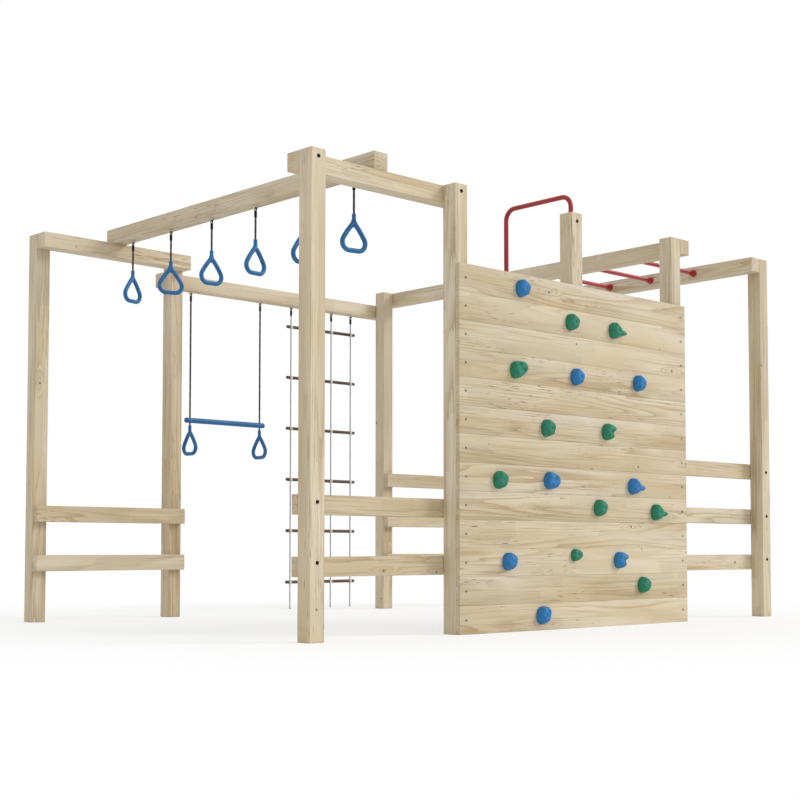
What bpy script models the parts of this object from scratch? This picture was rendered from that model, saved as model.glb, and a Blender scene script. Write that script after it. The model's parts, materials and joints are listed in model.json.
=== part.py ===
"""Wooden play set: a timber frame with a climbing wall, hanging rings, a trapeze with two grips,
a rope ladder, monkey bars and a climbing pole.

Metres, +Z up. +X runs along the climbing wall, from the rings' end to the monkey bars' end, and
+Y runs from the climbing wall to the rear. The origin is on the ground at the middle of the plan.
"""

import math

import bmesh
import bpy
from mathutils import Matrix, Vector

# Clearance between pieces that touch or turn on each other
CLEARANCE = 0.0003

# Facets of the round pieces, and the angle up to which their edges look smooth
BAR_SIDES = 12
TRAPEZE_BAR_SIDES = 16
SEAT_SIDES = 24
NOSE_SIDES = 8
NOSE_ROWS = 5
SMOOTH_ANGLE = 35

# Timber frame
FRAME_HEIGHT = 2.300
POST_SIDE = 0.090
BEAM_SIDE = 0.090
RAIL_HEIGHT = 0.095
RAIL_THICKNESS = 0.045
SIDE_BAY = 0.950
WALL_BAY = 1.840
FRAME_DEPTH = 2.550
LOWEST_RAIL = 0.300
RAIL_PITCH = 0.290
ARRIS = 0.003

# Climbing wall
PLANK_COUNT = 13
PLANK_PITCH = 0.145
PLANK_THICKNESS = 0.028
PLANK_ARRIS = 0.002
HOLD_WIDTH = 0.092
HOLD_DEPTH = 0.046
HOLD_FOOT = 0.004
HOLD_SIDES = 12
HOLD_ROWS = 6
HOLD_TRIANGLE = 0.05
HOLD_SLANT = 0.04
HOLD_EDGE_FULLNESS = 0.50
HOLD_DOME_FULLNESS = 0.60
NOSE_REACH = 0.084
NOSE_THICKNESS = 0.032
NOSE_PLACE = (0.056, -0.018, -0.009)

# Monkey bars
BAR_COUNT = 6
BAR_PITCH = 0.350
BAR_DIAMETER = 0.027
SOCKET_WALL = 0.0045
SOCKET_LENGTH = 0.034
FLANGE_RIM = 0.006
FLANGE_THICKNESS = 0.006

# Climbing pole, pinned in the middle post of the wall
POLE_DIAMETER = 0.027
POLE_RISE = 0.106
POLE_REACH = 0.490
POLE_BEND = 0.065
POLE_SEAT_DEPTH = 0.120

# Hooks and rope ends, alike on the rings, the trapeze and the ladder
HOOK_WIRE = 0.006
HOOK_WIDTH = 0.026
HOOK_BEND = 0.006
HOOK_DROP = 0.018
EYE_WIRE = 0.006
EYE_OPENING = 0.012
EYE_SIDES = 10
EYE_WIRE_SIDES = 5
SLEEVE_DIAMETER = 0.0160
SLEEVE_LENGTH = 0.034
DARK_ROPE_DIAMETER = 0.0125
ROPE_SIDES = 8

# Grips of the rings and of the trapeze
GRIP_WIDTH = 0.160
GRIP_HEIGHT = 0.200
GRIP_TUBE = 0.024
GRIP_CORNER = 0.040
GRIP_APEX = 0.0125
GRIP_APEX_DEPTH = 0.050
GRIP_BOW = 5.5
GRIP_NECK_DIAMETER = 0.022
GRIP_NECK_LENGTH = 0.028
GRIP_SHOULDER_DEPTH = 0.0555
GRIP_WEB_DEPTH = 0.069
GRIP_WEB_WIDTH = 0.050
GRIP_WEB_FOOT = 0.020
GRIP_WEB_THICKNESS = 0.014
NECK_SIDES = 12
ROPE_IN_NECK = 0.011

# Hanging rings
RING_COUNT = 6
RING_FRONT_OFFSET = 0.202
RING_REAR_OFFSET = 0.227
RING_NECK_DROP = 0.185
RING_TURNS = (-10, 4, 7, -2, -19, 17)

# Trapeze
TRAPEZE_OFFSET = -0.434
TRAPEZE_ROPE_SPACING = 0.570
TRAPEZE_BAR_LENGTH = 0.650
TRAPEZE_BAR_DIAMETER = 0.035
TRAPEZE_BAR_ROUNDING = 0.008
TRAPEZE_BAR_DROP = 0.849
TRAPEZE_GRIP_GAP = 0.015
TRAPEZE_GRIP_TURN = 90

# Rope ladder
LADDER_OFFSET = 0.397
LADDER_ROPE_COUNT = 4
LADDER_ROPE_SPACING = 0.183
LADDER_ROPE_DIAMETER = 0.010
RUNG_COUNT = 6
RUNG_LENGTH = 0.626
RUNG_DIAMETER = 0.022
RUNG_ROUNDING = 0.004
TOP_RUNG_DROP = 0.143
LOWEST_RUNG = 0.202
KNOT_THICKNESS = 0.004
KNOT_WIDTH = 0.024
KNOT_ROUNDING = 0.005
ROPE_END_HEIGHT = 0.018
RUNGS_PER_SECTION = 2
LADDER_SIDES = 10
KNOT_START = 18
STRAND_START = 11

# Forms of the holds: their size as a share of the full one, how much longer they are on the right,
# then how far the outline swells or dips, at what angle from +X, and how narrowly
HOLD_FORMS = {
    "dome": (1.00, 0.00, 0.00, 0, 1),
    "nose": (1.00, 0.00, 0.00, 0, 1),
    "small": (0.72, 0.45, 0.00, 0, 1),
    "lobe": (1.00, 0.10, 0.45, 25, 4),
    "cheek": (1.00, 0.05, 0.28, 20, 2),
    "lip": (1.00, 0.05, 0.30, -17, 2),
    "notch": (1.00, 0.35, -0.45, -11, 8),
}

# Holds on the wall: plank from the ground, distance from the wall's left end, height above the
# plank's middle, form and colour
HOLDS = (
    (12, 0.467, -0.005, "dome", "blue"),
    (11, 0.870, 0.004, "dome", "green"),
    (11, 1.245, -0.003, "nose", "green"),
    (9, 0.420, -0.007, "lobe", "green"),
    (9, 0.909, -0.004, "dome", "blue"),
    (9, 1.464, 0.005, "dome", "blue"),
    (7, 0.664, -0.010, "dome", "green"),
    (7, 1.177, -0.001, "notch", "green"),
    (5, 0.289, -0.010, "dome", "green"),
    (5, 0.684, 0.000, "lip", "blue"),
    (5, 1.409, -0.010, "nose", "blue"),
    (4, 1.102, 0.006, "dome", "green"),
    (4, 1.621, -0.009, "nose", "green"),
    (2, 0.357, 0.004, "dome", "blue"),
    (2, 0.892, 0.036, "small", "green"),
    (2, 1.277, 0.006, "notch", "blue"),
    (1, 1.493, 0.009, "dome", "green"),
    (0, 0.619, 0.007, "cheek", "blue"),
)

# Places worked out from the sizes
X_SIDE = WALL_BAY / 2 + SIDE_BAY
X_WALL = WALL_BAY / 2
SEAT = POST_SIDE / 2 + CLEARANCE
FRONT_REACH = SEAT + PLANK_THICKNESS + HOLD_DEPTH
REAR_REACH = SEAT + BEAM_SIDE / 2 + max(BEAM_SIDE, GRIP_WIDTH) / 2
Y_FRONT = (FRONT_REACH - FRAME_DEPTH - REAR_REACH) / 2
Y_REAR = Y_FRONT + FRAME_DEPTH
HIGH_BEAM_Z = (FRAME_HEIGHT - BEAM_SIDE, FRAME_HEIGHT)
SWING_BEAM_Z = (FRAME_HEIGHT - 2 * BEAM_SIDE, FRAME_HEIGHT - BEAM_SIDE)
RING_BEAM_BOTTOM = FRAME_HEIGHT + CLEARANCE
RING_BEAM_X = -X_SIDE + SIDE_BAY / 2
SWING_BEAM_Y = Y_REAR + SEAT + BEAM_SIDE / 2
PLANK_FACE_Y = Y_FRONT - SEAT - PLANK_THICKNESS
WALL_LEFT = -X_WALL - POST_SIDE / 2
WALL_RIGHT = X_WALL + POST_SIDE / 2
POLE_TOP = FRAME_HEIGHT + POLE_RISE
RING_SPAN = FRAME_DEPTH - 2 * SEAT - RING_FRONT_OFFSET - RING_REAR_OFFSET
RING_PITCH = RING_SPAN / (RING_COUNT - 1)
RUNG_PITCH = (SWING_BEAM_Z[0] - TOP_RUNG_DROP - LOWEST_RUNG) / (RUNG_COUNT - 1)
KNOT_DIAMETER = RUNG_DIAMETER + 2 * KNOT_THICKNESS
SOCKET_DIAMETER = BAR_DIAMETER + 2 * SOCKET_WALL
FLANGE_DIAMETER = SOCKET_DIAMETER + 2 * FLANGE_RIM
TRAPEZE_GRIP_DROP = TRAPEZE_BAR_DIAMETER / 2 + TRAPEZE_GRIP_GAP
EYE_RADIUS = (EYE_OPENING + EYE_WIRE) / 2
EYE_DROP = EYE_OPENING / 2 - HOOK_WIRE / 2 - CLEARANCE
SLEEVE_TOP = EYE_DROP + EYE_RADIUS


def material(name, colour, roughness, metallic=0.0):
    """A Principled material of one colour."""
    made = bpy.data.materials.new(name)
    made.use_nodes = True
    shader = made.node_tree.nodes["Principled BSDF"]
    shader.inputs["Base Color"].default_value = (*colour, 1.0)
    shader.inputs["Roughness"].default_value = roughness
    shader.inputs["Metallic"].default_value = metallic
    made.diffuse_color = (*colour, 1.0)
    return made


def collection(name):
    """A new collection in the scene."""
    made = bpy.data.collections.new(name)
    bpy.context.scene.collection.children.link(made)
    return made


def place(mesh, name, location, finish, group):
    """An object of that mesh, with its origin at the location."""
    made = bpy.data.objects.new(name, mesh)
    made.location = location
    if not mesh.materials:
        mesh.materials.append(finish)
    group.objects.link(made)
    return made


def as_tool(item):
    """Makes the object a shape that another one is joined with or cut by."""
    item.hide_render = True
    item.display_type = "WIRE"
    return item


def combine(item, tool, operation):
    """Joins the item with a tool shape, or cuts it by one, keeping each shape's own material."""
    step = item.modifiers.new(f"{operation.lower()}_{tool.name}"[:60], "BOOLEAN")
    step.operation = operation
    step.solver = "EXACT"
    step.material_mode = "TRANSFER"
    step.object = tool


def fix_shape(item):
    """The item's mesh with its modifiers applied; the item itself is removed."""
    bpy.context.view_layer.update()
    graph = bpy.context.evaluated_depsgraph_get()
    mesh = bpy.data.meshes.new_from_object(item.evaluated_get(graph), depsgraph=graph)
    mesh.name = item.name
    for step in list(item.modifiers):
        if step.type == "BOOLEAN" and step.object:
            bpy.data.objects.remove(step.object)
    bpy.data.objects.remove(item)
    return mesh


def box_mesh(name, size):
    """A box of that size around its own centre."""
    shape = bmesh.new()
    bmesh.ops.create_cube(shape, size=1.0, matrix=Matrix.Diagonal((*size, 1.0)))
    mesh = bpy.data.meshes.new(name)
    shape.to_mesh(mesh)
    shape.free()
    return mesh


def timber(name, low, high, finish, group, arris=ARRIS):
    """A sawn length of timber between two corners, with small flats along its edges."""
    low, high = Vector(low), Vector(high)
    made = place(box_mesh(name, high - low), name, (low + high) / 2, finish, group)
    flats = made.modifiers.new("arris", "BEVEL")
    flats.width = arris
    flats.segments = 1
    return made


def turned(name, profile, sides, location, finish, group, along_x=False, start=0):
    """A turned shape from (radius, height) points, given from the top down its outer side.

    Its first facet starts at the start angle, in degrees, so that two shapes on one axis can
    have their facets apart.
    """
    mesh = bpy.data.meshes.new(name)
    edges = [(i, i + 1) for i in range(len(profile) - 1)]
    aim = math.radians(start)
    points = [(radius * math.cos(aim), radius * math.sin(aim), z) for radius, z in profile]
    mesh.from_pydata(points, edges, [])
    made = place(mesh, name, location, finish, group)
    turn = made.modifiers.new("turn", "SCREW")
    turn.steps = sides
    turn.render_steps = sides
    turn.use_merge_vertices = True
    turn.merge_threshold = 0.00001
    if along_x:
        made.rotation_euler = (0.0, math.pi / 2, 0.0)
    return made


def rod_profile(radius, length, rounding, steps=2):
    """The profile of a rod around its centre, with rounded ends."""
    half = length / 2
    angles = [i * math.pi / 2 / steps for i in range(steps + 1)]
    top = [
        (radius - rounding + rounding * math.sin(a), half - rounding + rounding * math.cos(a))
        for a in angles
    ]
    bottom = [(r, -z) for r, z in reversed(top)]
    return [(0.0, half)] + top + bottom + [(0.0, -half)]


def tube(name, points, diameter, finish, group, closed=False, resolution=2):
    """A tube along the points, as a closed mesh whose origin is the world's."""
    curve = bpy.data.curves.new(name, "CURVE")
    curve.dimensions = "3D"
    curve.bevel_depth = diameter / 2
    curve.bevel_resolution = resolution
    curve.use_fill_caps = not closed
    line = curve.splines.new("POLY")
    line.points.add(len(points) - 1)
    for spot, point in zip(line.points, points):
        spot.co = (*point, 1.0)
    line.use_cyclic_u = closed
    return curve_as_mesh(curve, finish, group)


def plate(name, outline, thickness, finish, group):
    """A flat piece of that outline in the X-Z plane, of that thickness along Y."""
    curve = bpy.data.curves.new(name, "CURVE")
    curve.dimensions = "2D"
    curve.fill_mode = "BOTH"
    curve.extrude = thickness / 2
    line = curve.splines.new("POLY")
    line.points.add(len(outline) - 1)
    for spot, (u, v) in zip(line.points, outline):
        spot.co = (u, v, 0.0, 1.0)
    line.use_cyclic_u = True
    made = curve_as_mesh(curve, finish, group)
    made.data.transform(Matrix.Rotation(math.pi / 2, 4, "X"))
    return made


def curve_as_mesh(curve, finish, group):
    """The curve as a closed mesh object, with its caps welded on."""
    form = bpy.data.objects.new(curve.name, curve)
    group.objects.link(form)
    mesh = fix_shape(form)
    shape = bmesh.new()
    shape.from_mesh(mesh)
    bmesh.ops.remove_doubles(shape, verts=shape.verts, dist=0.00001)
    bmesh.ops.recalc_face_normals(shape, faces=shape.faces)
    shape.to_mesh(mesh)
    shape.free()
    return place(mesh, curve.name, (0.0, 0.0, 0.0), finish, group)


def torus(name, radius, wire, location, finish, group):
    """A ring of round wire that stands in the Y-Z plane."""
    bpy.ops.mesh.primitive_torus_add(
        major_radius=radius,
        minor_radius=wire / 2,
        major_segments=EYE_SIDES,
        minor_segments=EYE_WIRE_SIDES,
        location=location,
        rotation=(0.0, math.pi / 2, 0.0),
    )
    made = bpy.context.active_object
    made.name = name
    made.data.materials.append(finish)
    for owner in list(made.users_collection):
        owner.objects.unlink(made)
    group.objects.link(made)
    return made


def arc(centre, radius, start, end, steps):
    """Points of an arc in a plane, from one angle to the other, in degrees."""
    angles = [math.radians(start + (end - start) * i / steps) for i in range(steps + 1)]
    return [(centre[0] + radius * math.cos(a), centre[1] + radius * math.sin(a)) for a in angles]


def hook_points(x, y, top):
    """A hook's wire: a U in the X-Z plane that hangs from the beam, with both legs in the wood."""
    half = HOOK_WIDTH / 2 - HOOK_WIRE / 2
    bottom = top - HOOK_DROP
    bend = arc((-half + HOOK_BEND, bottom + HOOK_BEND), HOOK_BEND, 180, 270, 3)
    left = [(-half, top + HOOK_WIRE)] + bend
    right = [(-u, v) for u, v in reversed(left)]
    return [Vector((x + u, y, v)) for u, v in left + right]


def pole_points():
    """The climbing pole's centre line, from its seat in the middle post down to the ground."""
    straight = POLE_TOP - POLE_BEND
    far = POLE_REACH - POLE_BEND
    path = [(0.0, FRAME_HEIGHT - POLE_SEAT_DEPTH + CLEARANCE)]
    path += arc((POLE_BEND, straight), POLE_BEND, 180, 90, 6)
    path += arc((far, straight), POLE_BEND, 90, 0, 6)
    path += [(POLE_REACH, 0.0)]
    return [Vector((0.0, Y_FRONT + u, v)) for u, v in path]


def grip_outline():
    """The grip's tube in its own plane: a drop with bowed sides, below its neck's top.

    The sides leave the corners and reach the apex along the line that touches both bends, turned
    by the bow at either end.
    """
    radius = GRIP_TUBE / 2
    half = GRIP_WIDTH / 2 - radius - GRIP_CORNER
    base = -GRIP_HEIGHT + radius + GRIP_CORNER
    apex = -GRIP_APEX_DEPTH - GRIP_APEX
    spread = math.hypot(half, apex - base)
    touch = math.acos((GRIP_APEX - GRIP_CORNER) / spread) - math.atan2(apex - base, half)
    lean = math.degrees(touch)
    corner = arc((half, base), GRIP_CORNER, -90, lean - GRIP_BOW, 5)
    top = arc((0.0, apex), GRIP_APEX, lean + GRIP_BOW, 90, 2)
    low, high = Vector(corner[-1]), Vector(top[0])
    reach = (high - low).length / 2 * math.tan(math.radians(GRIP_BOW) / 2)
    middle = (low + high) / 2 + reach * Vector((math.cos(touch), math.sin(touch)))
    right = corner + [tuple(middle)] + top
    left = [(-u, v) for u, v in reversed(right[:-1])]
    return right + left


def grip_shape(finish, tools):
    """The mesh of one grip: its tube, its neck and the web between them, below the origin."""
    loop = tube(
        "grip_form",
        [Vector((u, 0.0, v)) for u, v in grip_outline()],
        GRIP_TUBE,
        finish,
        tools,
        closed=True,
    )
    inset, flare, foot = GRIP_WEB_THICKNESS / 2, GRIP_WEB_WIDTH / 2, GRIP_WEB_FOOT / 2
    outline = [
        (-inset, -GRIP_NECK_LENGTH),
        (-flare, -GRIP_SHOULDER_DEPTH),
        (-foot, -GRIP_WEB_DEPTH),
        (foot, -GRIP_WEB_DEPTH),
        (flare, -GRIP_SHOULDER_DEPTH),
        (inset, -GRIP_NECK_LENGTH),
    ]
    web = plate("grip_web", outline, GRIP_WEB_THICKNESS, finish, tools)
    combine(loop, as_tool(web), "UNION")
    radius, bottom = GRIP_NECK_DIAMETER / 2, -GRIP_NECK_LENGTH - GRIP_TUBE
    profile = [(0.0, 0.0), (radius, 0.0), (radius, bottom), (0.0, bottom)]
    neck = turned("grip_neck", profile, NECK_SIDES, (0.0, 0.0, 0.0), finish, tools)
    combine(loop, as_tool(neck), "UNION")
    return fix_shape(loop)


def sleeved_rope(sleeve_top, rope_end, rope):
    """The profile of a sleeve with a rope of that radius below it, as depths under the hook."""
    sleeve = SLEEVE_DIAMETER / 2
    sleeve_end = sleeve_top + SLEEVE_LENGTH
    return [
        (0.0, -sleeve_top),
        (sleeve, -sleeve_top),
        (sleeve, -sleeve_end),
        (rope, -sleeve_end),
        (rope, -rope_end),
        (0.0, -rope_end),
    ]


def hung_rope(name, pivot, rope_end, finish, group, tools):
    """A rope that hangs in a hook: its eye, its sleeve and its length down to rope_end."""
    line = sleeved_rope(SLEEVE_TOP, rope_end, DARK_ROPE_DIAMETER / 2)
    made = turned(name, line, ROPE_SIDES, pivot, finish, group)
    eye = (pivot[0], pivot[1], pivot[2] - EYE_DROP)
    combine(made, as_tool(torus(f"{name}_eye", EYE_RADIUS, EYE_WIRE, eye, finish, tools)), "UNION")
    return made


def hold_mesh(name, form):
    """A climbing hold of that form, with its foot at the origin and its front towards -Y."""
    share, stretch, bulge, aim, narrowness = HOLD_FORMS[form]
    shape = bmesh.new()
    bmesh.ops.create_uvsphere(shape, u_segments=HOLD_SIDES, v_segments=HOLD_ROWS, radius=1.0)
    for spot in shape.verts:
        x, z, out = spot.co
        angle = math.atan2(z, x)
        swell = 1.0 + HOLD_TRIANGLE * math.cos(3 * angle) + HOLD_SLANT * math.sin(2 * angle)
        if bulge > 0 or out > 0:
            swell += bulge * max(0.0, math.cos(angle - math.radians(aim))) ** narrowness
        side = share * HOLD_WIDTH / 2 * swell * math.hypot(x, z) ** HOLD_EDGE_FULLNESS
        if out > 0:
            rise = share * HOLD_DEPTH * out**HOLD_DOME_FULLNESS
        else:
            rise = HOLD_FOOT * out
        right = side * math.cos(angle)
        if right > 0:
            right *= 1.0 + stretch
        spot.co = Vector((right, -rise, side * math.sin(angle)))
    mesh = bpy.data.meshes.new(name)
    bmesh.ops.recalc_face_normals(shape, faces=shape.faces)
    shape.to_mesh(mesh)
    shape.free()
    return mesh


def nose_mesh(name):
    """The finger that stands out to the right of a hold with a nose."""
    shape = bmesh.new()
    bmesh.ops.create_uvsphere(shape, u_segments=NOSE_SIDES, v_segments=NOSE_ROWS, radius=1.0)
    size = (NOSE_REACH / 2, NOSE_THICKNESS / 2, NOSE_THICKNESS / 2)
    bmesh.ops.scale(shape, vec=size, verts=shape.verts)
    mesh = bpy.data.meshes.new(name)
    shape.to_mesh(mesh)
    shape.free()
    return mesh


def add_posts(finish, group):
    """The nine posts; the front row carries the wall and the rear row the swing beam."""
    rows = {
        "front": (Y_FRONT, {"left": -X_SIDE, "wall_left": -X_WALL, "wall_middle": 0.0,
                            "wall_right": X_WALL, "right": X_SIDE}),
        "rear": (Y_REAR, {"left": -X_SIDE, "swing_left": -X_WALL, "swing_right": X_WALL,
                          "right": X_SIDE}),
    }
    half = POST_SIDE / 2
    made = {}
    for row, (y, places) in rows.items():
        for spot, x in places.items():
            name = f"post_{row}_{spot}"
            low = (x - half, y - half, 0.0)
            made[name] = timber(name, low, (x + half, y + half, FRAME_HEIGHT), finish, group)
    return made


def add_beams(finish, group):
    """The six top beams."""
    half = POST_SIDE / 2
    front_face = Y_FRONT + SEAT
    rear_face = Y_REAR - SEAT
    left, wall_left = -X_SIDE - half, -X_WALL + half
    low, high = HIGH_BEAM_Z
    tie_front = timber("tie_beam_front", (left, front_face, low),
                       (wall_left, front_face + BEAM_SIDE, high), finish, group)
    tie_rear = timber("tie_beam_rear", (left, rear_face - BEAM_SIDE, low),
                      (wall_left, rear_face, high), finish, group)
    ring_beam = timber("ring_beam", (RING_BEAM_X - BEAM_SIDE / 2, front_face, RING_BEAM_BOTTOM),
                       (RING_BEAM_X + BEAM_SIDE / 2, rear_face, RING_BEAM_BOTTOM + BEAM_SIDE),
                       finish, group)
    swing_beam = timber("swing_beam",
                        (-X_WALL - half, SWING_BEAM_Y - BEAM_SIDE / 2, SWING_BEAM_Z[0]),
                        (X_WALL + half, SWING_BEAM_Y + BEAM_SIDE / 2, SWING_BEAM_Z[1]),
                        finish, group)
    bar_left = X_WALL + SEAT
    bar_right = X_SIDE - SEAT
    timber("bar_beam_left", (bar_left, Y_FRONT - half, low),
           (bar_left + BEAM_SIDE, Y_REAR + half, high), finish, group)
    timber("bar_beam_right", (bar_right - BEAM_SIDE, Y_FRONT - half, low),
           (bar_right, Y_REAR + half, high), finish, group)
    return {"ring_beam": ring_beam, "swing_beam": swing_beam,
            "tie_beam_front": tie_front, "tie_beam_rear": tie_rear}


def add_rails(finish, group):
    """The ten low rails: two high at the rings' end and three high at the bars' end."""
    half = POST_SIDE / 2
    sides = {
        "front_left": (-X_SIDE - half, -X_WALL + half, Y_FRONT + SEAT, ("lower", "upper")),
        "rear_left": (-X_SIDE - half, -X_WALL + half, Y_REAR - SEAT - RAIL_THICKNESS,
                      ("lower", "upper")),
        "front_right": (X_WALL - half, X_SIDE + half, Y_FRONT + SEAT,
                        ("lower", "middle", "upper")),
        "rear_right": (X_WALL - half, X_SIDE + half, Y_REAR - SEAT - RAIL_THICKNESS,
                       ("lower", "middle", "upper")),
    }
    for side, (start, end, y, levels) in sides.items():
        for level, word in enumerate(levels):
            z = LOWEST_RAIL + level * RAIL_PITCH
            timber(f"rail_{side}_{word}", (start, y, z),
                   (end, y + RAIL_THICKNESS, z + RAIL_HEIGHT), finish, group)


def add_wall(finish, plastics, group, tools):
    """The planks of the climbing wall, each with its holds."""
    for row in range(PLANK_COUNT):
        name = f"wall_plank_{row + 1:02d}"
        bottom = row * PLANK_PITCH
        plank = timber(name, (WALL_LEFT, PLANK_FACE_Y, bottom),
                       (WALL_RIGHT, PLANK_FACE_Y + PLANK_THICKNESS,
                        bottom + PLANK_PITCH - CLEARANCE), finish, group, PLANK_ARRIS)
        for number, (level, along, above, form, colour) in enumerate(HOLDS):
            if level != row:
                continue
            height = bottom + PLANK_PITCH / 2 + above
            spot = Vector((WALL_LEFT + along, PLANK_FACE_Y, height))
            hold_name = f"hold_{number + 1:02d}"
            hold = place(hold_mesh(hold_name, form), hold_name, spot, plastics[colour], tools)
            combine(plank, as_tool(hold), "UNION")
            if form == "nose":
                nose = place(nose_mesh(f"{hold_name}_nose"), f"{hold_name}_nose",
                             spot + Vector(NOSE_PLACE), plastics[colour], tools)
                combine(plank, as_tool(nose), "UNION")


def add_monkey_bars(finish, group):
    """The monkey bars between their two beams, each a tube with a flanged socket at both ends."""
    start = X_WALL + SEAT + BEAM_SIDE + CLEARANCE
    end = X_SIDE - SEAT - BEAM_SIDE - CLEARANCE
    half = (end - start) / 2
    flange, socket, bar = FLANGE_DIAMETER / 2, SOCKET_DIAMETER / 2, BAR_DIAMETER / 2
    top = [
        (0.0, half),
        (flange, half),
        (flange, half - FLANGE_THICKNESS),
        (socket, half - 2 * FLANGE_THICKNESS),
        (socket, half - SOCKET_LENGTH),
        (bar, half - SOCKET_LENGTH),
    ]
    profile = top + [(r, -z) for r, z in reversed(top)]
    middle = Y_FRONT + FRAME_DEPTH / 2
    for number in range(BAR_COUNT):
        y = middle + (number - (BAR_COUNT - 1) / 2) * BAR_PITCH
        spot = ((start + end) / 2, y, FRAME_HEIGHT - BEAM_SIDE / 2)
        turned(f"monkey_bar_{number + 1}", profile, BAR_SIDES, spot, finish, group,
               along_x=True)


def add_climbing_pole(post, finish, group, tools):
    """The bent climbing pole, and the hole for it in the top of the wall's middle post."""
    tube("climbing_pole", pole_points(), POLE_DIAMETER, finish, group)
    radius = POLE_DIAMETER / 2 + CLEARANCE
    bottom = FRAME_HEIGHT - POLE_SEAT_DEPTH
    above = FRAME_HEIGHT + POLE_DIAMETER
    profile = [(0.0, above), (radius, above), (radius, bottom), (0.0, bottom)]
    hole = turned("pole_hole", profile, SEAT_SIDES, (0.0, Y_FRONT, 0.0), finish, tools)
    combine(post, as_tool(hole), "DIFFERENCE")


def add_hooks(beam, places, steel, tools):
    """The steel hooks under a beam; places holds the (x, y) of each, and the beam's underside."""
    spots, underside = places
    for number, (x, y) in enumerate(spots):
        name = f"{beam.name}_hook_{number + 1}"
        hook = tube(name, hook_points(x, y, underside), HOOK_WIRE, steel, tools, resolution=1)
        combine(beam, as_tool(hook), "UNION")


def add_rings(grip, finishes, group, tools):
    """The hanging rings; each turns about the bottom of its own hook."""
    pivot_z = RING_BEAM_BOTTOM - HOOK_DROP
    rope_end = RING_NECK_DROP - HOOK_DROP + ROPE_IN_NECK
    spots = []
    for number in range(RING_COUNT):
        y = Y_FRONT + SEAT + RING_FRONT_OFFSET + number * RING_PITCH
        spots.append((RING_BEAM_X, y))
        pivot = (RING_BEAM_X, y, pivot_z)
        ring = hung_rope(f"ring_{number + 1}", pivot, rope_end, finishes["dark_rope"], group, tools)
        neck_top = (RING_BEAM_X, y, RING_BEAM_BOTTOM - RING_NECK_DROP)
        handle = place(grip, f"ring_{number + 1}_grip", neck_top, finishes["blue"], tools)
        handle.rotation_euler = (0.0, 0.0, math.radians(RING_TURNS[number]))
        combine(ring, as_tool(handle), "UNION")
    return spots


def bar_cutter(name, x, z, radius, length, finish, tools):
    """A cylinder along X that leaves a round seat in what it cuts."""
    profile = [(0.0, length / 2), (radius, length / 2), (radius, -length / 2), (0.0, -length / 2)]
    spot = (x, SWING_BEAM_Y, z)
    return as_tool(turned(name, profile, SEAT_SIDES, spot, finish, tools, along_x=True))


def add_trapeze(grip, finishes, group, tools):
    """The trapeze: a bar on two ropes, with a grip that swings from the bar below each rope."""
    centre = TRAPEZE_OFFSET
    pivot_z = SWING_BEAM_Z[0] - HOOK_DROP
    bar_z = SWING_BEAM_Z[0] - TRAPEZE_BAR_DROP
    radius = TRAPEZE_BAR_DIAMETER / 2
    profile = rod_profile(radius, TRAPEZE_BAR_LENGTH, TRAPEZE_BAR_ROUNDING)
    turned("trapeze_bar", profile, TRAPEZE_BAR_SIDES, (centre, SWING_BEAM_Y, bar_z),
           finishes["blue"], group, along_x=True)
    spots = []
    for word, side in (("left", -1), ("right", 1)):
        x = centre + side * TRAPEZE_ROPE_SPACING / 2
        spots.append((x, SWING_BEAM_Y))
        rope = hung_rope(f"trapeze_rope_{word}", (x, SWING_BEAM_Y, pivot_z), pivot_z - bar_z,
                         finishes["dark_rope"], group, tools)
        width = 2 * GRIP_TUBE
        seat = bar_cutter(f"rope_seat_{word}", x, bar_z, radius + CLEARANCE, width,
                          finishes["dark_rope"], tools)
        combine(rope, seat, "DIFFERENCE")
        stub = DARK_ROPE_DIAMETER / 2
        drop = TRAPEZE_GRIP_DROP + ROPE_IN_NECK
        line = [(0.0, 0.0), (stub, 0.0), (stub, -drop), (0.0, -drop)]
        handle = turned(f"trapeze_grip_{word}", line, ROPE_SIDES, (x, SWING_BEAM_Y, bar_z),
                        finishes["dark_rope"], group)
        held = place(grip, f"trapeze_grip_{word}_form",
                     (x, SWING_BEAM_Y, bar_z - TRAPEZE_GRIP_DROP), finishes["blue"], tools)
        held.rotation_euler = (0.0, 0.0, math.radians(TRAPEZE_GRIP_TURN))
        combine(handle, as_tool(held), "UNION")
        grip_seat = bar_cutter(f"grip_seat_{word}", x, bar_z, radius + CLEARANCE, width,
                               finishes["dark_rope"], tools)
        combine(handle, grip_seat, "DIFFERENCE")
    return spots


def ladder_rope_places():
    """The X of each rope of the ladder."""
    middle = (LADDER_ROPE_COUNT - 1) / 2
    return [LADDER_OFFSET + (i - middle) * LADDER_ROPE_SPACING for i in range(LADDER_ROPE_COUNT)]


def ladder_rung_height(number):
    """The height of a rung's axis; rung 0 is the highest."""
    return LOWEST_RUNG + (RUNG_COUNT - 1 - number) * RUNG_PITCH


def ladder_rung(name, number, finish, tools):
    """One rung of the ladder."""
    profile = rod_profile(RUNG_DIAMETER / 2, RUNG_LENGTH, RUNG_ROUNDING)
    spot = (LADDER_OFFSET, SWING_BEAM_Y, ladder_rung_height(number))
    return turned(name, profile, LADDER_SIDES, spot, finish, tools, along_x=True)


def ladder_knot(name, x, number, finish, tools):
    """The knot of one rope round a rung."""
    profile = rod_profile(KNOT_DIAMETER / 2, KNOT_WIDTH, KNOT_ROUNDING, 1)
    spot = (x, SWING_BEAM_Y, ladder_rung_height(number))
    return turned(name, profile, LADDER_SIDES, spot, finish, tools, along_x=True,
                  start=KNOT_START)


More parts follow.
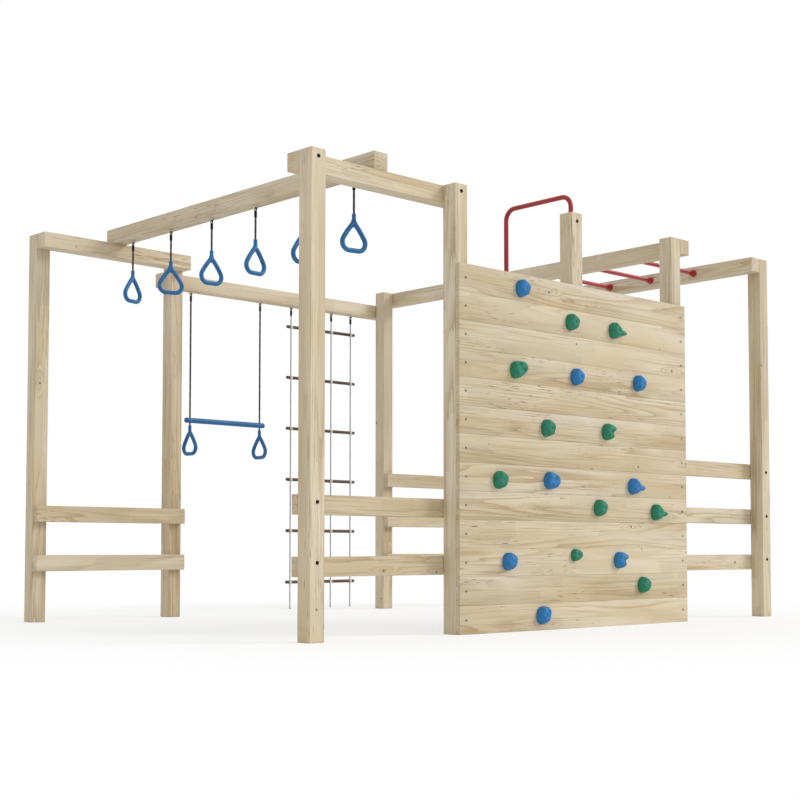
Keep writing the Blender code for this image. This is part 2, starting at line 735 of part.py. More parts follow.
def section_body(name, number, pivot_z, finish, group, tools):
    """A rung as the body of a ladder section, with the section's origin on its joint's axis."""
    rung = ladder_rung(f"{name}_form", number, finish, tools)
    start, turn = rung.location.copy(), rung.rotation_euler.to_matrix().to_4x4()
    mesh = fix_shape(rung)
    pivot = Vector((start.x, start.y, pivot_z))
    mesh.transform(Matrix.Translation(start - pivot) @ turn)
    return place(mesh, name, pivot, finish, group)


def ladder_strand(name, x, pivot_z, length, is_top, finish, tools):
    """One rope of a ladder section, with its sleeve where it starts at a hook."""
    rope = LADDER_ROPE_DIAMETER / 2
    line = [(0.0, 0.0), (rope, 0.0), (rope, -length), (0.0, -length)]
    if is_top:
        line = sleeved_rope(SLEEVE_TOP, length, rope)
    return turned(name, line, ROPE_SIDES, (x, SWING_BEAM_Y, pivot_z), finish, tools,
                  start=STRAND_START)


def ladder_section(name, first, last, finishes, group, tools):
    """One section of the ladder: its rungs with their knots, and its ropes down to the last."""
    pale, wood = finishes["pale_rope"], finishes["rung"]
    is_top = first == 0
    pivot_z = SWING_BEAM_Z[0] - HOOK_DROP if is_top else ladder_rung_height(first - 1)
    end_z = ROPE_END_HEIGHT if last == RUNG_COUNT - 1 else ladder_rung_height(last)
    section = section_body(name, first, pivot_z, wood, group, tools)
    for number in range(first + 1, last + 1):
        rung = ladder_rung(f"{name}_rung_{number}", number, wood, tools)
        combine(section, as_tool(rung), "UNION")
    for place_number, x in enumerate(ladder_rope_places()):
        label = f"{name}_rope_{place_number}"
        strand = ladder_strand(label, x, pivot_z, pivot_z - end_z, is_top, pale, tools)
        combine(section, as_tool(strand), "UNION")
        if is_top:
            eye = (x, SWING_BEAM_Y, pivot_z - EYE_DROP)
            ring = torus(f"{label}_eye", EYE_RADIUS, EYE_WIRE, eye, pale, tools)
            combine(section, as_tool(ring), "UNION")
        for number in range(first, last + 1):
            knot = ladder_knot(f"{label}_knot_{number}", x, number, pale, tools)
            combine(section, as_tool(knot), "UNION")
    if not is_top:
        seat = bar_cutter(f"{name}_seat", LADDER_OFFSET, pivot_z, KNOT_DIAMETER / 2 + CLEARANCE,
                          RUNG_LENGTH, pale, tools)
        combine(section, seat, "DIFFERENCE")
    return section


def add_ladder(finishes, group, tools):
    """The rope ladder, in sections that fold at a rung, as the slack ropes do."""
    words = ("upper", "middle", "lower")
    for number, word in enumerate(words):
        first = number * RUNGS_PER_SECTION
        last = RUNG_COUNT - 1 if word == words[-1] else first + RUNGS_PER_SECTION - 1
        ladder_section(f"rope_ladder_{word}", first, last, finishes, group, tools)
    return [(x, SWING_BEAM_Y) for x in ladder_rope_places()]


def shade(group):
    """Round pieces are shaded smooth between their sharp edges."""
    for item in group.objects:
        if item.type == "MESH":
            item.data.shade_smooth()
            item.data.set_sharp_from_angle(angle=math.radians(SMOOTH_ANGLE))


def main():
    """Clears the scene and builds the play set."""
    for item in list(bpy.data.objects):
        bpy.data.objects.remove(item)
    parts = collection("wooden_play_set")
    tools = collection("cutters")
    pine = material("pine", (0.72, 0.60, 0.41), 0.6)
    finishes = {
        "blue": material("blue_plastic", (0.07, 0.19, 0.43), 0.35),
        "green": material("green_plastic", (0.03, 0.22, 0.13), 0.40),
        "dark_rope": material("dark_grey_rope", (0.09, 0.08, 0.09), 0.85),
        "pale_rope": material("pale_rope", (0.62, 0.61, 0.62), 0.85),
        "rung": material("stained_rung_wood", (0.09, 0.05, 0.03), 0.6),
        "steel": material("zinc_plated_steel", (0.72, 0.72, 0.72), 0.3, 1.0),
    }
    red = material("red_powder_coat", (0.38, 0.02, 0.03), 0.35)
    posts = add_posts(pine, parts)
    beams = add_beams(pine, parts)
    add_rails(pine, parts)
    add_wall(pine, finishes, parts, tools)
    add_monkey_bars(red, parts)
    add_climbing_pole(posts["post_front_wall_middle"], red, parts, tools)
    grip = grip_shape(finishes["blue"], tools)
    rings = add_rings(grip, finishes, parts, tools)
    add_hooks(beams["ring_beam"], (rings, RING_BEAM_BOTTOM), finishes["steel"], tools)
    swings = add_trapeze(grip, finishes, parts, tools) + add_ladder(finishes, parts, tools)
    add_hooks(beams["swing_beam"], (swings, SWING_BEAM_Z[0]), finishes["steel"], tools)
    shade(parts)


main()
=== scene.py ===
"""Looks of a wooden play set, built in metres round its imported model, with +Z up."""

import json
import logging
import math
from dataclasses import dataclass, field
from enum import Enum
from typing import Any, Iterable, Mapping, Sequence

import bmesh
import bpy
from mathutils import Euler, Matrix, Vector, noise


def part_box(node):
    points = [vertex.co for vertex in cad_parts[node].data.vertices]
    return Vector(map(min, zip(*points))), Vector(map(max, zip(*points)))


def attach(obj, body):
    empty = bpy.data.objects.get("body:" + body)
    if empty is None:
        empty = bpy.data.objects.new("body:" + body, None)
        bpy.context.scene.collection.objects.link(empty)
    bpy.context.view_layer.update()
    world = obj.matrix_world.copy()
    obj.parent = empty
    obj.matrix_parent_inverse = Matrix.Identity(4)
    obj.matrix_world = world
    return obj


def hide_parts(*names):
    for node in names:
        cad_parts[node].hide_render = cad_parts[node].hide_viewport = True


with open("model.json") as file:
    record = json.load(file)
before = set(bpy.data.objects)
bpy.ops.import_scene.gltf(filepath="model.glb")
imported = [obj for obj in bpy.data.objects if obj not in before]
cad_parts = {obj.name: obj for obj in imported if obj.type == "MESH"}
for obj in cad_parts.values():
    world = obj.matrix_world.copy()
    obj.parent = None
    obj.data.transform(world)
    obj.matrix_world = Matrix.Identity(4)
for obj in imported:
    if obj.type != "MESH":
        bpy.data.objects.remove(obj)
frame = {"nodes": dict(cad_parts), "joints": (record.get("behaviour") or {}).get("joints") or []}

for start_up in ("Cube", "Light", "Camera"):
    if start_up in bpy.data.objects:
        bpy.data.objects.remove(bpy.data.objects[start_up])

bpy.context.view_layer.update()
LOG = logging.getLogger("play_set")
SHARP_ANGLE = math.radians(38)
ROPE_IN_SLEEVE = 0.003

JOINTS = {joint["name"]: joint for joint in frame["joints"]}

Colour = tuple[float, float, float, float]
Point = tuple[float, float]
Inputs = Mapping[str | int, Any]
Tree = bpy.types.NodeTree
Node = bpy.types.Node
Source = bpy.types.Node | bpy.types.NodeSocket
Mesh = bpy.types.Mesh

WHITE: Colour = (1.0, 1.0, 1.0, 1.0)


def linear(hex_colour: str) -> Colour:
    """Turns an sRGB hex colour into linear light.

    Args:
        hex_colour: The colour as "#RRGGBB".

    Returns:
        Red, green, blue and a full alpha.
    """
    parts = [int(hex_colour[i : i + 2], 16) / 255 for i in (1, 3, 5)]
    red, green, blue = (p / 12.92 if p <= 0.04045 else ((p + 0.055) / 1.055) ** 2.4 for p in parts)
    return red, green, blue, 1.0


def set_inputs(tree: Tree, node: Node, inputs: Inputs) -> None:
    """Gives a node's inputs their values and links.

    Args:
        tree: The node tree.
        node: The node.
        inputs: A value, an output socket, or a node for its first output, by name or number.
    """
    for key, value in inputs.items():
        if isinstance(value, bpy.types.Node):
            value = value.outputs[0]
        if isinstance(value, bpy.types.NodeSocket):
            tree.links.new(value, node.inputs[key])
        else:
            node.inputs[key].default_value = value


def add_node(
    tree: Tree,
    kind: str,
    inputs: Inputs | None = None,
    stops: Sequence[tuple[float, str]] = (),
    **settings: Any,
) -> Node:
    """Adds a shader node with its settings, values and links.

    Args:
        tree: The node tree that it goes into.
        kind: Blender's type name of the node, after "ShaderNode".
        inputs: What each input takes, as for set_inputs.
        stops: For a colour ramp, its places with a hex colour each.
        **settings: The node's own properties.

    Returns:
        The new node.
    """
    node = tree.nodes.new(f"ShaderNode{kind}")
    for key, value in settings.items():
        setattr(node, key, value)
    set_inputs(tree, node, inputs or {})
    for number, (spot, colour) in enumerate(stops):
        ramp = node.color_ramp.elements
        element = ramp[number] if number < 2 else ramp.new(spot)
        element.position = spot
        element.color = linear(colour)
    return node


class Grain(Enum):
    """The axis that a timber's fibres run along, then the two axes across it."""

    X = ("X", "Y", "Z")
    Y = ("Y", "Z", "X")
    Z = ("Z", "X", "Y")


@dataclass(frozen=True)
class Finish:
    """A real material with the way its surface was made."""

    name: str

    def build(self) -> bpy.types.Material:
        """Makes the material on its first use.

        Returns:
            The material.
        """
        made = bpy.data.materials.get(self.name)
        if made is None:
            made = bpy.data.materials.new(self.name)
            made.use_nodes = True
            self.dress(made.node_tree, made.node_tree.nodes["Principled BSDF"])
        return made

    def dress(self, tree: Tree, shader: Node) -> None:
        """Adds the nodes of this finish.

        Args:
            tree: The material's node tree.
            shader: Its Principled shader.
        """
        raise NotImplementedError


@dataclass(frozen=True)
class Cloud:
    """Noise drawn out along the grain, with its features per metre along and across it.

    Its mask is 0 where the noise is at the low mark, and 1 where it is at the high mark.
    """

    along: float
    across: float
    low: float = 0.0
    high: float = 1.0
    detail: float = 0.0

    def add(self, tree: Tree, where: Source) -> Node:
        """Adds the noise.

        Args:
            tree: The material's node tree.
            where: The place in the wood.

        Returns:
            The noise, about 0.5 on average.
        """
        scale = (self.along, self.across, self.across)
        drawn = add_node(tree, "VectorMath", {0: where, 1: scale}, operation="MULTIPLY")
        return add_node(tree, "TexNoise", {"Vector": drawn, "Scale": 1.0, "Detail": self.detail})

    def add_mask(self, tree: Tree, where: Source) -> Node:
        """Adds the noise and its mask.

        Args:
            tree: The material's node tree.
            where: The place in the wood.

        Returns:
            The mask.
        """
        made = self.add(tree, where)
        marks = {"From Min": self.low, "From Max": self.high}
        return add_node(tree, "MapRange", {"Value": made, **marks})


@dataclass(frozen=True)
class PlanedPine(Finish):
    """Planed pine, unvarnished.

    Cream early wood with honey late wood lines along the grain, short resin flecks, small brown
    knots that the lines bend round, and a dry, almost matte face. Planks differ in tone.
    """

    grain: Grain
    early_wood: str = "#D2C6AF"
    warm_wood: str = "#C3B08F"
    late_wood: str = "#9C8158"
    fleck: str = "#6E563B"
    knot: str = "#5F4630"
    contrast: float = 0.60
    streak_share: float = 0.62
    fleck_share: float = 0.75
    # A flat sawn face cuts the rings at a low angle, so they show 9 to 14 mm apart
    ring_mm: float = 11.0
    ring_span_mm: float = 150.0
    ring_line: Point = (0.45, 0.97)
    rings: Cloud = Cloud(0.42, 7.5, detail=1.0)
    wobble: Cloud = Cloud(2.2, 34.0, detail=2.0)
    wobble_share: float = 1.1
    presence: Cloud = Cloud(0.9, 8.0, 0.36, 0.66)
    tone: Cloud = Cloud(0.8, 6.0, detail=2.0)
    # The fibres are under 1 mm; they are drawn 5 mm wide so that they show at this distance
    fibre: Cloud = Cloud(3.2, 200.0, 0.48, 0.70, 2.0)
    fibre_groups: Cloud = Cloud(1.3, 11.0, 0.36, 0.62)
    # Resin flecks 30 to 60 mm long and about 3 mm wide
    specks: Cloud = Cloud(15.0, 190.0, 0.70, 0.80)
    speck_patches: Cloud = Cloud(1.6, 9.0, 0.55, 0.68)
    # Boards are glued up from short lengths of slightly different tone
    lengths: tuple[float, float, float] = (2.7, 15.0, 15.0)
    length_toning: float = 0.11
    timber_shades: Point = (0.95, 1.03)
    end_shade: float = -0.04
    knot_cell_m: Point = (0.420, 0.130)
    knot_radius: Point = (0.0035, 0.0095)
    knot_limit: float = 0.80
    knot_swerve: float = 2.2
    knot_swerve_reach: float = 0.030
    knot_swerve_stretch: float = 0.22

    def dress(self, tree: Tree, shader: Node) -> None:
        """Adds the wood's growth rings, fibre, flecks and knots."""
        where = add_node(tree, "TexCoord")
        piece = add_node(tree, "ObjectInfo").outputs["Random"]
        axes = add_node(tree, "SeparateXYZ", {0: where.outputs["Object"]})
        faces = add_node(tree, "SeparateXYZ", {0: where.outputs["Normal"]})
        place = [axes.outputs[axis] for axis in self.grain.value]
        end_facing, side_facing, _ = (faces.outputs[axis] for axis in self.grain.value)
        side = self.above(tree, side_facing, 0.5)
        end = self.above(tree, end_facing, 0.7)
        stem = add_node(tree, "CombineXYZ", dict(enumerate(place)))
        moved = add_node(
            tree, "VectorMath", {0: piece, 1: (97.0, 41.0, 67.0), 2: stem},
            operation="MULTIPLY_ADD",
        )
        bend, knot = self.knots(tree, piece, place, side)

        phase: Source = bend
        turns = self.ring_span_mm / self.ring_mm
        for cloud, strength in ((self.rings, turns), (self.wobble, self.wobble_share)):
            phase = add_node(
                tree, "Math", {0: cloud.add(tree, moved), 1: strength, 2: phase},
                operation="MULTIPLY_ADD",
            )
        ring = add_node(tree, "Math", {0: phase}, operation="FRACT")
        low, high = self.ring_line
        line = add_node(tree, "MapRange", {"Value": ring, "From Min": low, "From Max": high})
        presence = self.presence.add_mask(tree, moved)
        late = add_node(tree, "Math", {0: line, 1: presence}, operation="MULTIPLY")

        fibre = self.fibre.add(tree, moved)
        streak = add_node(
            tree, "MapRange",
            {"Value": fibre, "From Min": self.fibre.low, "From Max": self.fibre.high},
        )
        groups = self.fibre_groups.add_mask(tree, moved)
        streaks = add_node(tree, "Math", {0: streak, 1: groups}, operation="MULTIPLY")
        speck, patches = (c.add_mask(tree, moved) for c in (self.specks, self.speck_patches))
        specks = add_node(tree, "Math", {0: speck, 1: patches}, operation="MULTIPLY")

        wood: Source = add_node(
            tree, "ValToRGB", {0: self.tone.add(tree, moved)},
            stops=((0.34, self.early_wood), (0.68, self.warm_wood)),
        )
        for mask, strength, colour in (
            (late, self.contrast, self.late_wood), (streaks, self.streak_share, self.late_wood),
            (specks, self.fleck_share, self.fleck), (knot, 1.0, self.knot),
        ):
            share = add_node(tree, "Math", {0: mask, 1: strength}, operation="MULTIPLY")
            layers = {0: share, 6: wood, 7: linear(colour)}
            wood = add_node(tree, "Mix", layers, data_type="RGBA").outputs[2]

        low, high = self.timber_shades
        shade = add_node(tree, "MapRange", {"Value": piece, "To Min": low, "To Max": high})
        boards = add_node(tree, "VectorMath", {0: moved, 1: self.lengths}, operation="MULTIPLY")
        board = add_node(
            tree, "TexVoronoi", {"Vector": boards, "Scale": 1.0, "Randomness": 0.6},
            distance="CHEBYCHEV",
        )
        toning = add_node(tree, "SeparateColor", {0: board.outputs["Color"]}).outputs[2]
        for value, strength in ((end, self.end_shade), (toning, self.length_toning)):
            shade = add_node(
                tree, "Math", {0: value, 1: strength, 2: shade}, operation="MULTIPLY_ADD"
            )
        relief = add_node(tree, "Math", {0: fibre, 1: 0.6, 2: late}, operation="MULTIPLY_ADD")
        set_inputs(tree, shader, {
            "Base Color": add_node(tree, "HueSaturation", {"Value": shade, "Color": wood}),
            "Roughness": add_node(
                tree, "MapRange", {"Value": late, "To Min": 0.66, "To Max": 0.50}
            ),
            "Normal": add_node(
                tree, "Bump", {"Strength": 0.35, "Distance": 0.0006, "Height": relief}
            ),
            "Specular IOR Level": 0.35,
        })

    def knots(
        self, tree: Tree, piece: Source, place: Sequence[Source], side: Source
    ) -> tuple[Node, Node]:
        """Adds round knots, of which each face of a timber has its own.

        Args:
            tree: The material's node tree.
            piece: The timber's own random number.
            place: The place along the grain, then the two places across it.
            side: 1 on the faces that look along the first axis across, else 0.

        Returns:
            How far the rings bend there, and how much of a knot shows.
        """
        along, across, depth = place
        length, width = self.knot_cell_m
        start = add_node(tree, "Math", {0: side, 1: 5.3, 2: along}, operation="MULTIPLY_ADD")
        cross = add_node(tree, "Mix", {0: side, 2: across, 3: depth})
        flat = add_node(tree, "CombineXYZ", {0: start, 1: cross, 2: 0.0})
        flat = add_node(
            tree, "VectorMath", {0: piece, 1: (53.0, 29.0, 0.0), 2: flat},
            operation="MULTIPLY_ADD",
        )
        cell = add_node(
            tree, "VectorMath", {0: flat, 1: (1 / length, 1 / width, 0.0)}, operation="MULTIPLY"
        )
        spot = add_node(
            tree, "TexVoronoi", {"Vector": cell, "Scale": 1.0}, voronoi_dimensions="2D"
        )
        away = add_node(
            tree, "VectorMath", {0: cell, 1: spot.outputs["Position"]}, operation="SUBTRACT"
        )
        chance = add_node(tree, "SeparateColor", {0: spot.outputs["Color"]})
        there = self.above(tree, chance.outputs[0], self.knot_limit)
        low, high = self.knot_radius
        radius = add_node(
            tree, "MapRange", {"Value": chance.outputs[1], "To Min": low, "To Max": high}
        )
        gaps = []
        for stretch in (1.0, self.knot_swerve_stretch):
            real = add_node(
                tree, "VectorMath", {0: away, 1: (length * stretch, width, 0.0)},
                operation="MULTIPLY",
            )
            gaps.append(add_node(tree, "VectorMath", {0: real}, operation="LENGTH").outputs[1])
        share = add_node(tree, "Math", {0: gaps[0], 1: radius}, operation="DIVIDE")
        heart = add_node(
            tree, "MapRange", {"Value": share, "From Min": 1.15, "From Max": 0.75, "To Max": 0.8}
        )
        swerve = add_node(
            tree, "MapRange",
            {"Value": gaps[1], "From Min": self.knot_swerve_reach, "From Max": 0.0,
             "To Max": self.knot_swerve},
            interpolation_type="SMOOTHSTEP",
        )
        bend = add_node(tree, "Math", {0: swerve, 1: there}, operation="MULTIPLY")
        return bend, add_node(tree, "Math", {0: heart, 1: there}, operation="MULTIPLY")

    @staticmethod
    def above(tree: Tree, value: Source, limit: float) -> Node:
        """1 where the value, without its sign, is over the limit, and 0 elsewhere.

        Args:
            tree: The material's node tree.
            value: The value that is tested.
            limit: The limit.

        Returns:
            0 or 1.
        """
        size = add_node(tree, "Math", {0: value}, operation="ABSOLUTE")
        return add_node(tree, "Math", {0: size, 1: limit}, operation="GREATER_THAN")


@dataclass(frozen=True)
class StainedBeech(Finish):
    """Beech dowel under dark brown stain, which lies darker in the pores along the grain."""

    stain: str = "#5A4128"
    pore: str = "#33241A"
    pores: Cloud = Cloud(12.0, 260.0, detail=2.0)

    def dress(self, tree: Tree, shader: Node) -> None:
        """Adds the stain and its pores."""
        pores = self.pores.add(tree, add_node(tree, "TexCoord").outputs["Object"])
        stops = ((0.36, self.pore), (0.62, self.stain))
        set_inputs(tree, shader, {
            "Base Color": add_node(tree, "ValToRGB", {0: pores}, stops),
            "Roughness": 0.52,
            "Normal": add_node(
                tree, "Bump", {"Strength": 0.4, "Distance": 0.0004, "Height": pores}
            ),
        })


@dataclass(frozen=True)
class MouldedSkin(Finish):
    """A coloured skin with a mottle, a grain of its own size and a gloss.

    The mottle is the slight unevenness of the pigment, and the grain the texture of the mould,
    the sand or the powder.
    """

    colour: str
    shadow: str
    mottle_mm: float
    grain_mm: float
    relief_mm: float
    roughness: float
    metallic: float = 0.0
    specular: float = 0.5
    gloss_spread: float = 0.06

    def dress(self, tree: Tree, shader: Node) -> None:
        """Adds the mottle and the grain."""
        where = add_node(tree, "TexCoord").outputs["Object"]
        mottle, grit = (
            add_node(tree, "TexNoise", {"Vector": where, "Scale": 1000.0 / size, "Detail": detail})
            for size, detail in ((self.mottle_mm, 3.0), (self.grain_mm, 2.0))
        )
        low, high = self.roughness - self.gloss_spread, self.roughness + self.gloss_spread
        relief = {"Strength": 0.5, "Distance": self.relief_mm / 1000.0, "Height": grit}
        stops = ((0.32, self.shadow), (0.60, self.colour))
        set_inputs(tree, shader, {
            "Base Color": add_node(tree, "ValToRGB", {0: mottle}, stops),
            "Roughness": add_node(
                tree, "MapRange", {"Value": grit, "To Min": low, "To Max": high}
            ),
            "Normal": add_node(tree, "Bump", relief),
            "Metallic": self.metallic,
            "Specular IOR Level": self.specular,
        })


@dataclass(frozen=True)
class StudioPaper(Finish):
    """A white paper floor: it shows the object's soft shadow and fades to white far away."""

    white: str = "#F8F8F7"
    fade_start: float = 1.8
    fade_end: float = 4.2
    near_share: float = 0.60

    def dress(self, tree: Tree, shader: Node) -> None:
        """Adds the paper, and the plain white that the camera sees of it further out."""
        paper = {"Base Color": linear(self.white), "Roughness": 0.9, "Specular IOR Level": 0.1}
        set_inputs(tree, shader, paper)
        where = add_node(tree, "TexCoord").outputs["Object"]
        away = add_node(tree, "VectorMath", {0: where}, operation="LENGTH").outputs[1]
        far = add_node(
            tree, "MapRange",
            {"Value": away, "From Min": self.fade_start, "From Max": self.fade_end,
             "To Min": self.near_share, "To Max": 1.0},
            interpolation_type="SMOOTHSTEP",
        )
        share = add_node(tree, "Math", {0: far, 1: seen_directly(tree)}, operation="MULTIPLY")
        glow = add_node(tree, "Emission", {"Strength": 1.0})
        mix = add_node(tree, "MixShader", {0: share, 1: shader, 2: glow})
        set_inputs(tree, tree.nodes["Material Output"], {"Surface": mix})


def seen_directly(tree: Tree) -> Source:
    """1 for what the camera sees, straight or through gloss and glass, and 0 for other light.

    Args:
        tree: The node tree that it goes into.

    Returns:
        0 or 1.
    """
    path = add_node(tree, "LightPath")
    seen: Source = path.outputs["Is Camera Ray"]
    for word in ("Is Glossy Ray", "Is Transmission Ray"):
        seen = add_node(tree, "Math", {0: seen, 1: path.outputs[word]}, operation="MAXIMUM")
    return seen


PINE = {grain: PlanedPine(f"planed_pine_{grain.name.lower()}", grain) for grain in Grain}
# Rope ladder dowels
RUNG_WOOD = StainedBeech("stained_beech")
# Moulded polypropylene: an even, satin skin with a faint mould texture
BLUE_PLASTIC = MouldedSkin(
    "blue_polypropylene", "#266BA2", "#215F91", 45, 2.5, 0.05, 0.42, specular=0.3
)
# Polyester resin cast with sand: a matte, gritty skin; the 1 mm grit is drawn 3 mm wide to show
BLUE_RESIN = MouldedSkin("blue_cast_resin", "#2F7AB6", "#2A6EA3", 22, 3.0, 0.5, 0.62, specular=0.25)
GREEN_RESIN = MouldedSkin(
    "green_cast_resin", "#2C8266", "#27755A", 22, 3.0, 0.5, 0.62, specular=0.25
)
# Powder coated steel tube: a glossy red film with the slight orange peel of powder
RED_STEEL = MouldedSkin("red_powder_coat", "#A41019", "#93101A", 60, 4.0, 0.05, 0.30)
# Zinc plated steel: pale grey metal, a little dull and clouded
ZINC_STEEL = MouldedSkin("zinc_plated_steel", "#C9CBCE", "#A9ABAF", 8, 2.0, 0.04, 0.34, 1.0)
# Phosphated screw steel: dull grey metal that only shines where it catches the light
GREY_STEEL = MouldedSkin("phosphated_steel", "#8E9094", "#717377", 8, 2.0, 0.04, 0.36, 1.0)
# Black oxide steel: dark, faintly oily metal
BLACK_STEEL = MouldedSkin("black_oxide_steel", "#3A3A3D", "#242427", 8, 2.0, 0.04, 0.42, 1.0)
# Heat shrunk PVC sleeve: black and matte. The same black also stands as painted shade in the screw
# drives
BLACK_PVC = MouldedSkin("black_pvc_sleeve", "#070708", "#050505", 20, 3.0, 0.10, 0.62, specular=0.2)
# Laid polypropylene rope: matte strands; the 0.5 mm yarns are drawn 3 mm wide to show
DARK_ROPE = MouldedSkin("dark_laid_rope", "#3C3A42", "#28262C", 4, 3.0, 0.6, 0.80)
PALE_ROPE = MouldedSkin("pale_laid_rope", "#B9B6C4", "#9691A4", 4, 3.0, 0.6, 0.80)
# The knots are the same rope pulled tight and a little yellowed by handling
KNOT_ROPE = MouldedSkin("pale_knot_rope", "#DEDED0", "#BFC0AD", 4, 3.0, 0.6, 0.80)
PAPER = StudioPaper("white_paper")


def circle(sides: int) -> list[Point]:
    """The cosine and sine of each corner of a round shape."""
    turns = [2 * math.pi * k / sides for k in range(sides)]
    return [(math.cos(t), math.sin(t)) for t in turns]


def both_ends(end: list[Point]) -> list[Point]:
    """A turned outline from one of its ends: radius and place along the axis."""
    return end + [(r, -z) for r, z in reversed(end)]


class Form:
    """A mesh under construction, in the play set's own metres."""

    def __init__(self) -> None:
        """Starts an empty mesh."""
        self.work = bmesh.new()

    def skin(self, rings: Sequence[Sequence[bmesh.types.BMVert]], closed: bool = False) -> None:
        """Joins rings of points with faces; a ring of one point makes a tip.

        Args:
            rings: The rings, in order.
            closed: Whether the last ring joins the first.
        """
        pairs = list(zip(rings, rings[1:]))
        if closed:
            pairs.append((rings[-1], rings[0]))
        for low, high in pairs:
            count = max(len(low), len(high))
            for i in range(count):
                j = (i + 1) % count
                corners = [low[i % len(low)], low[j % len(low)],
                           high[j % len(high)], high[i % len(high)]]
                corners = list(dict.fromkeys(corners))
                if len(corners) > 2:
                    self.work.faces.new(corners)

    def sweep(
        self,
        path: Sequence[Vector],
        radius: float,
        sides: int,
        closed: bool = False,
    ) -> None:
        """Adds a round tube along a path.

        Args:
            path: The points of its centre line.
            radius: The tube's radius.
            sides: How many facets it has round.
            closed: Whether the path is a loop.
        """
        last = len(path) - 1
        rings: list[list[bmesh.types.BMVert]] = []
        old_aim: Vector | None = None
        normal = Vector()
        for i, point in enumerate(path):
            before = path[i - 1] if i or closed else path[0]
            after = path[(i + 1) % len(path)] if i < last or closed else path[last]
            aim = (after - before).normalized()
            if old_aim is None:
                normal = aim.orthogonal().normalized()
            else:
                normal = old_aim.rotation_difference(aim) @ normal
            old_aim = aim
            other = aim.cross(normal)
            rings.append([
                self.work.verts.new(point + radius * (c * normal + s * other))
                for c, s in circle(sides)
            ])
        self.skin(rings, closed)
        if not closed:
            self.work.faces.new(list(reversed(rings[0])))
            self.work.faces.new(rings[-1])

    def turned(
        self, profile: Iterable[Point], sides: int, place: Matrix
    ) -> None:
        """Adds a turned shape.

        Args:
            profile: Its radius and height, from one end to the other; radius 0 closes it.
            sides: How many facets it has round.
            place: Where its origin and its local Z axis go.
        """
        rings = []
        for radius, height in profile:
            if radius == 0.0:
                rings.append([self.work.verts.new(place @ Vector((0.0, 0.0, height)))])
                continue
            rings.append([
                self.work.verts.new(place @ Vector((radius * c, radius * s, height)))
                for c, s in circle(sides)
            ])
        self.skin(rings)

    def block(self, low: Vector, high: Vector, arris: float) -> None:
        """Adds a sawn block with planed, rounded arrises.

        Args:
            low: Its lowest corner.
            high: Its highest corner.
            arris: The radius of its edges.
        """
        size = high - low
        place = Matrix.Translation((low + high) / 2) @ Matrix.Diagonal((*size, 1.0))
        made = bmesh.ops.create_cube(self.work, size=1.0, matrix=place)
        edges = {edge for vert in made["verts"] for edge in vert.link_edges}
        bmesh.ops.bevel(
            self.work, geom=list(edges), offset=arris, segments=2, profile=0.5, affect="EDGES"
        )

    def ball(self, columns: int, rows: int) -> list[bmesh.types.BMVert]:
        """Adds a ball of radius 1, as clay for a formed shape.

        Args:
            columns: Its columns of faces.
            rows: Its rows of faces.

        Returns:
            Its points.
        """
        return bmesh.ops.create_uvsphere(
            self.work, u_segments=columns, v_segments=rows, radius=1.0
        )["verts"]

    def finished(self, name: str) -> Mesh:
        """Ends the work, with smooth faces and sharp edges where the form has them.

        Args:
            name: The mesh's name.

        Returns:
            The mesh.
        """
        bmesh.ops.recalc_face_normals(self.work, faces=self.work.faces)
        mesh = bpy.data.meshes.new(name)
        self.work.to_mesh(mesh)
        self.work.free()
        mesh.polygons.foreach_set("use_smooth", [True] * len(mesh.polygons))
        mesh.set_sharp_from_angle(angle=SHARP_ANGLE)
        return mesh


def fused(mesh: Mesh, voxel: float, smoothing: int) -> Mesh:
    """Melts overlapping shapes into one smooth skin, as a mould gives.

    Args:
        mesh: The shapes.
        voxel: The size of the new skin's faces.
        smoothing: How many times it is smoothed.

    Returns:
        The new mesh.
    """
    holder = bpy.data.objects.new(mesh.name, mesh)
    bpy.context.scene.collection.objects.link(holder)
    skin = holder.modifiers.new("skin", "REMESH")
    skin.mode = "VOXEL"
    skin.voxel_size = voxel
    soften = holder.modifiers.new("soften", "SMOOTH")
    soften.factor = 0.5
    soften.iterations = smoothing
    graph = bpy.context.evaluated_depsgraph_get()
    made = bpy.data.meshes.new_from_object(holder.evaluated_get(graph), depsgraph=graph)
    bpy.data.objects.remove(holder)
    made.name = mesh.name
    made.polygons.foreach_set("use_smooth", [True] * len(made.polygons))
    return made


def add_piece(
    name: str,
    shape: "Form | Mesh",
    finish: Finish,
    body: str,
    replaces: Sequence[str] = (),
) -> bpy.types.Object:
    """Puts a piece in the scene, on the body that carries it.

    Args:
        name: The piece's name.
        shape: Its form or its mesh, in world metres.
        finish: Its finish.
        body: The body that it rides on.
        replaces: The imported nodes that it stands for.

    Returns:
        The piece.
    """
    mesh = shape.finished(name) if isinstance(shape, Form) else shape
    mesh.materials.clear()
    mesh.materials.append(finish.build())
    piece = bpy.data.objects.new(name, mesh)
    bpy.context.scene.collection.objects.link(piece)
    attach(piece, body)
    if replaces:
        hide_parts(*replaces)
    LOG.info("piece %s: %d faces, %s", name, len(mesh.polygons), finish.name)
    return piece


def upright(x: float, y: float, z: float) -> Matrix:
    """A place whose axis points up."""
    return Matrix.Translation((x, y, z))


def lengthwise(x: float, y: float, z: float) -> Matrix:
    """A place whose axis points along +X."""
    return Matrix.Translation((x, y, z)) @ Matrix.Rotation(math.pi / 2, 4, "Y")


def facing(x: float, y: float, z: float, rear: bool = False) -> Matrix:
    """A place whose axis points out of a front face, or out of a rear one."""
    turn = -math.pi / 2 if rear else math.pi / 2
    return Matrix.Translation((x, y, z)) @ Matrix.Rotation(turn, 4, "X")


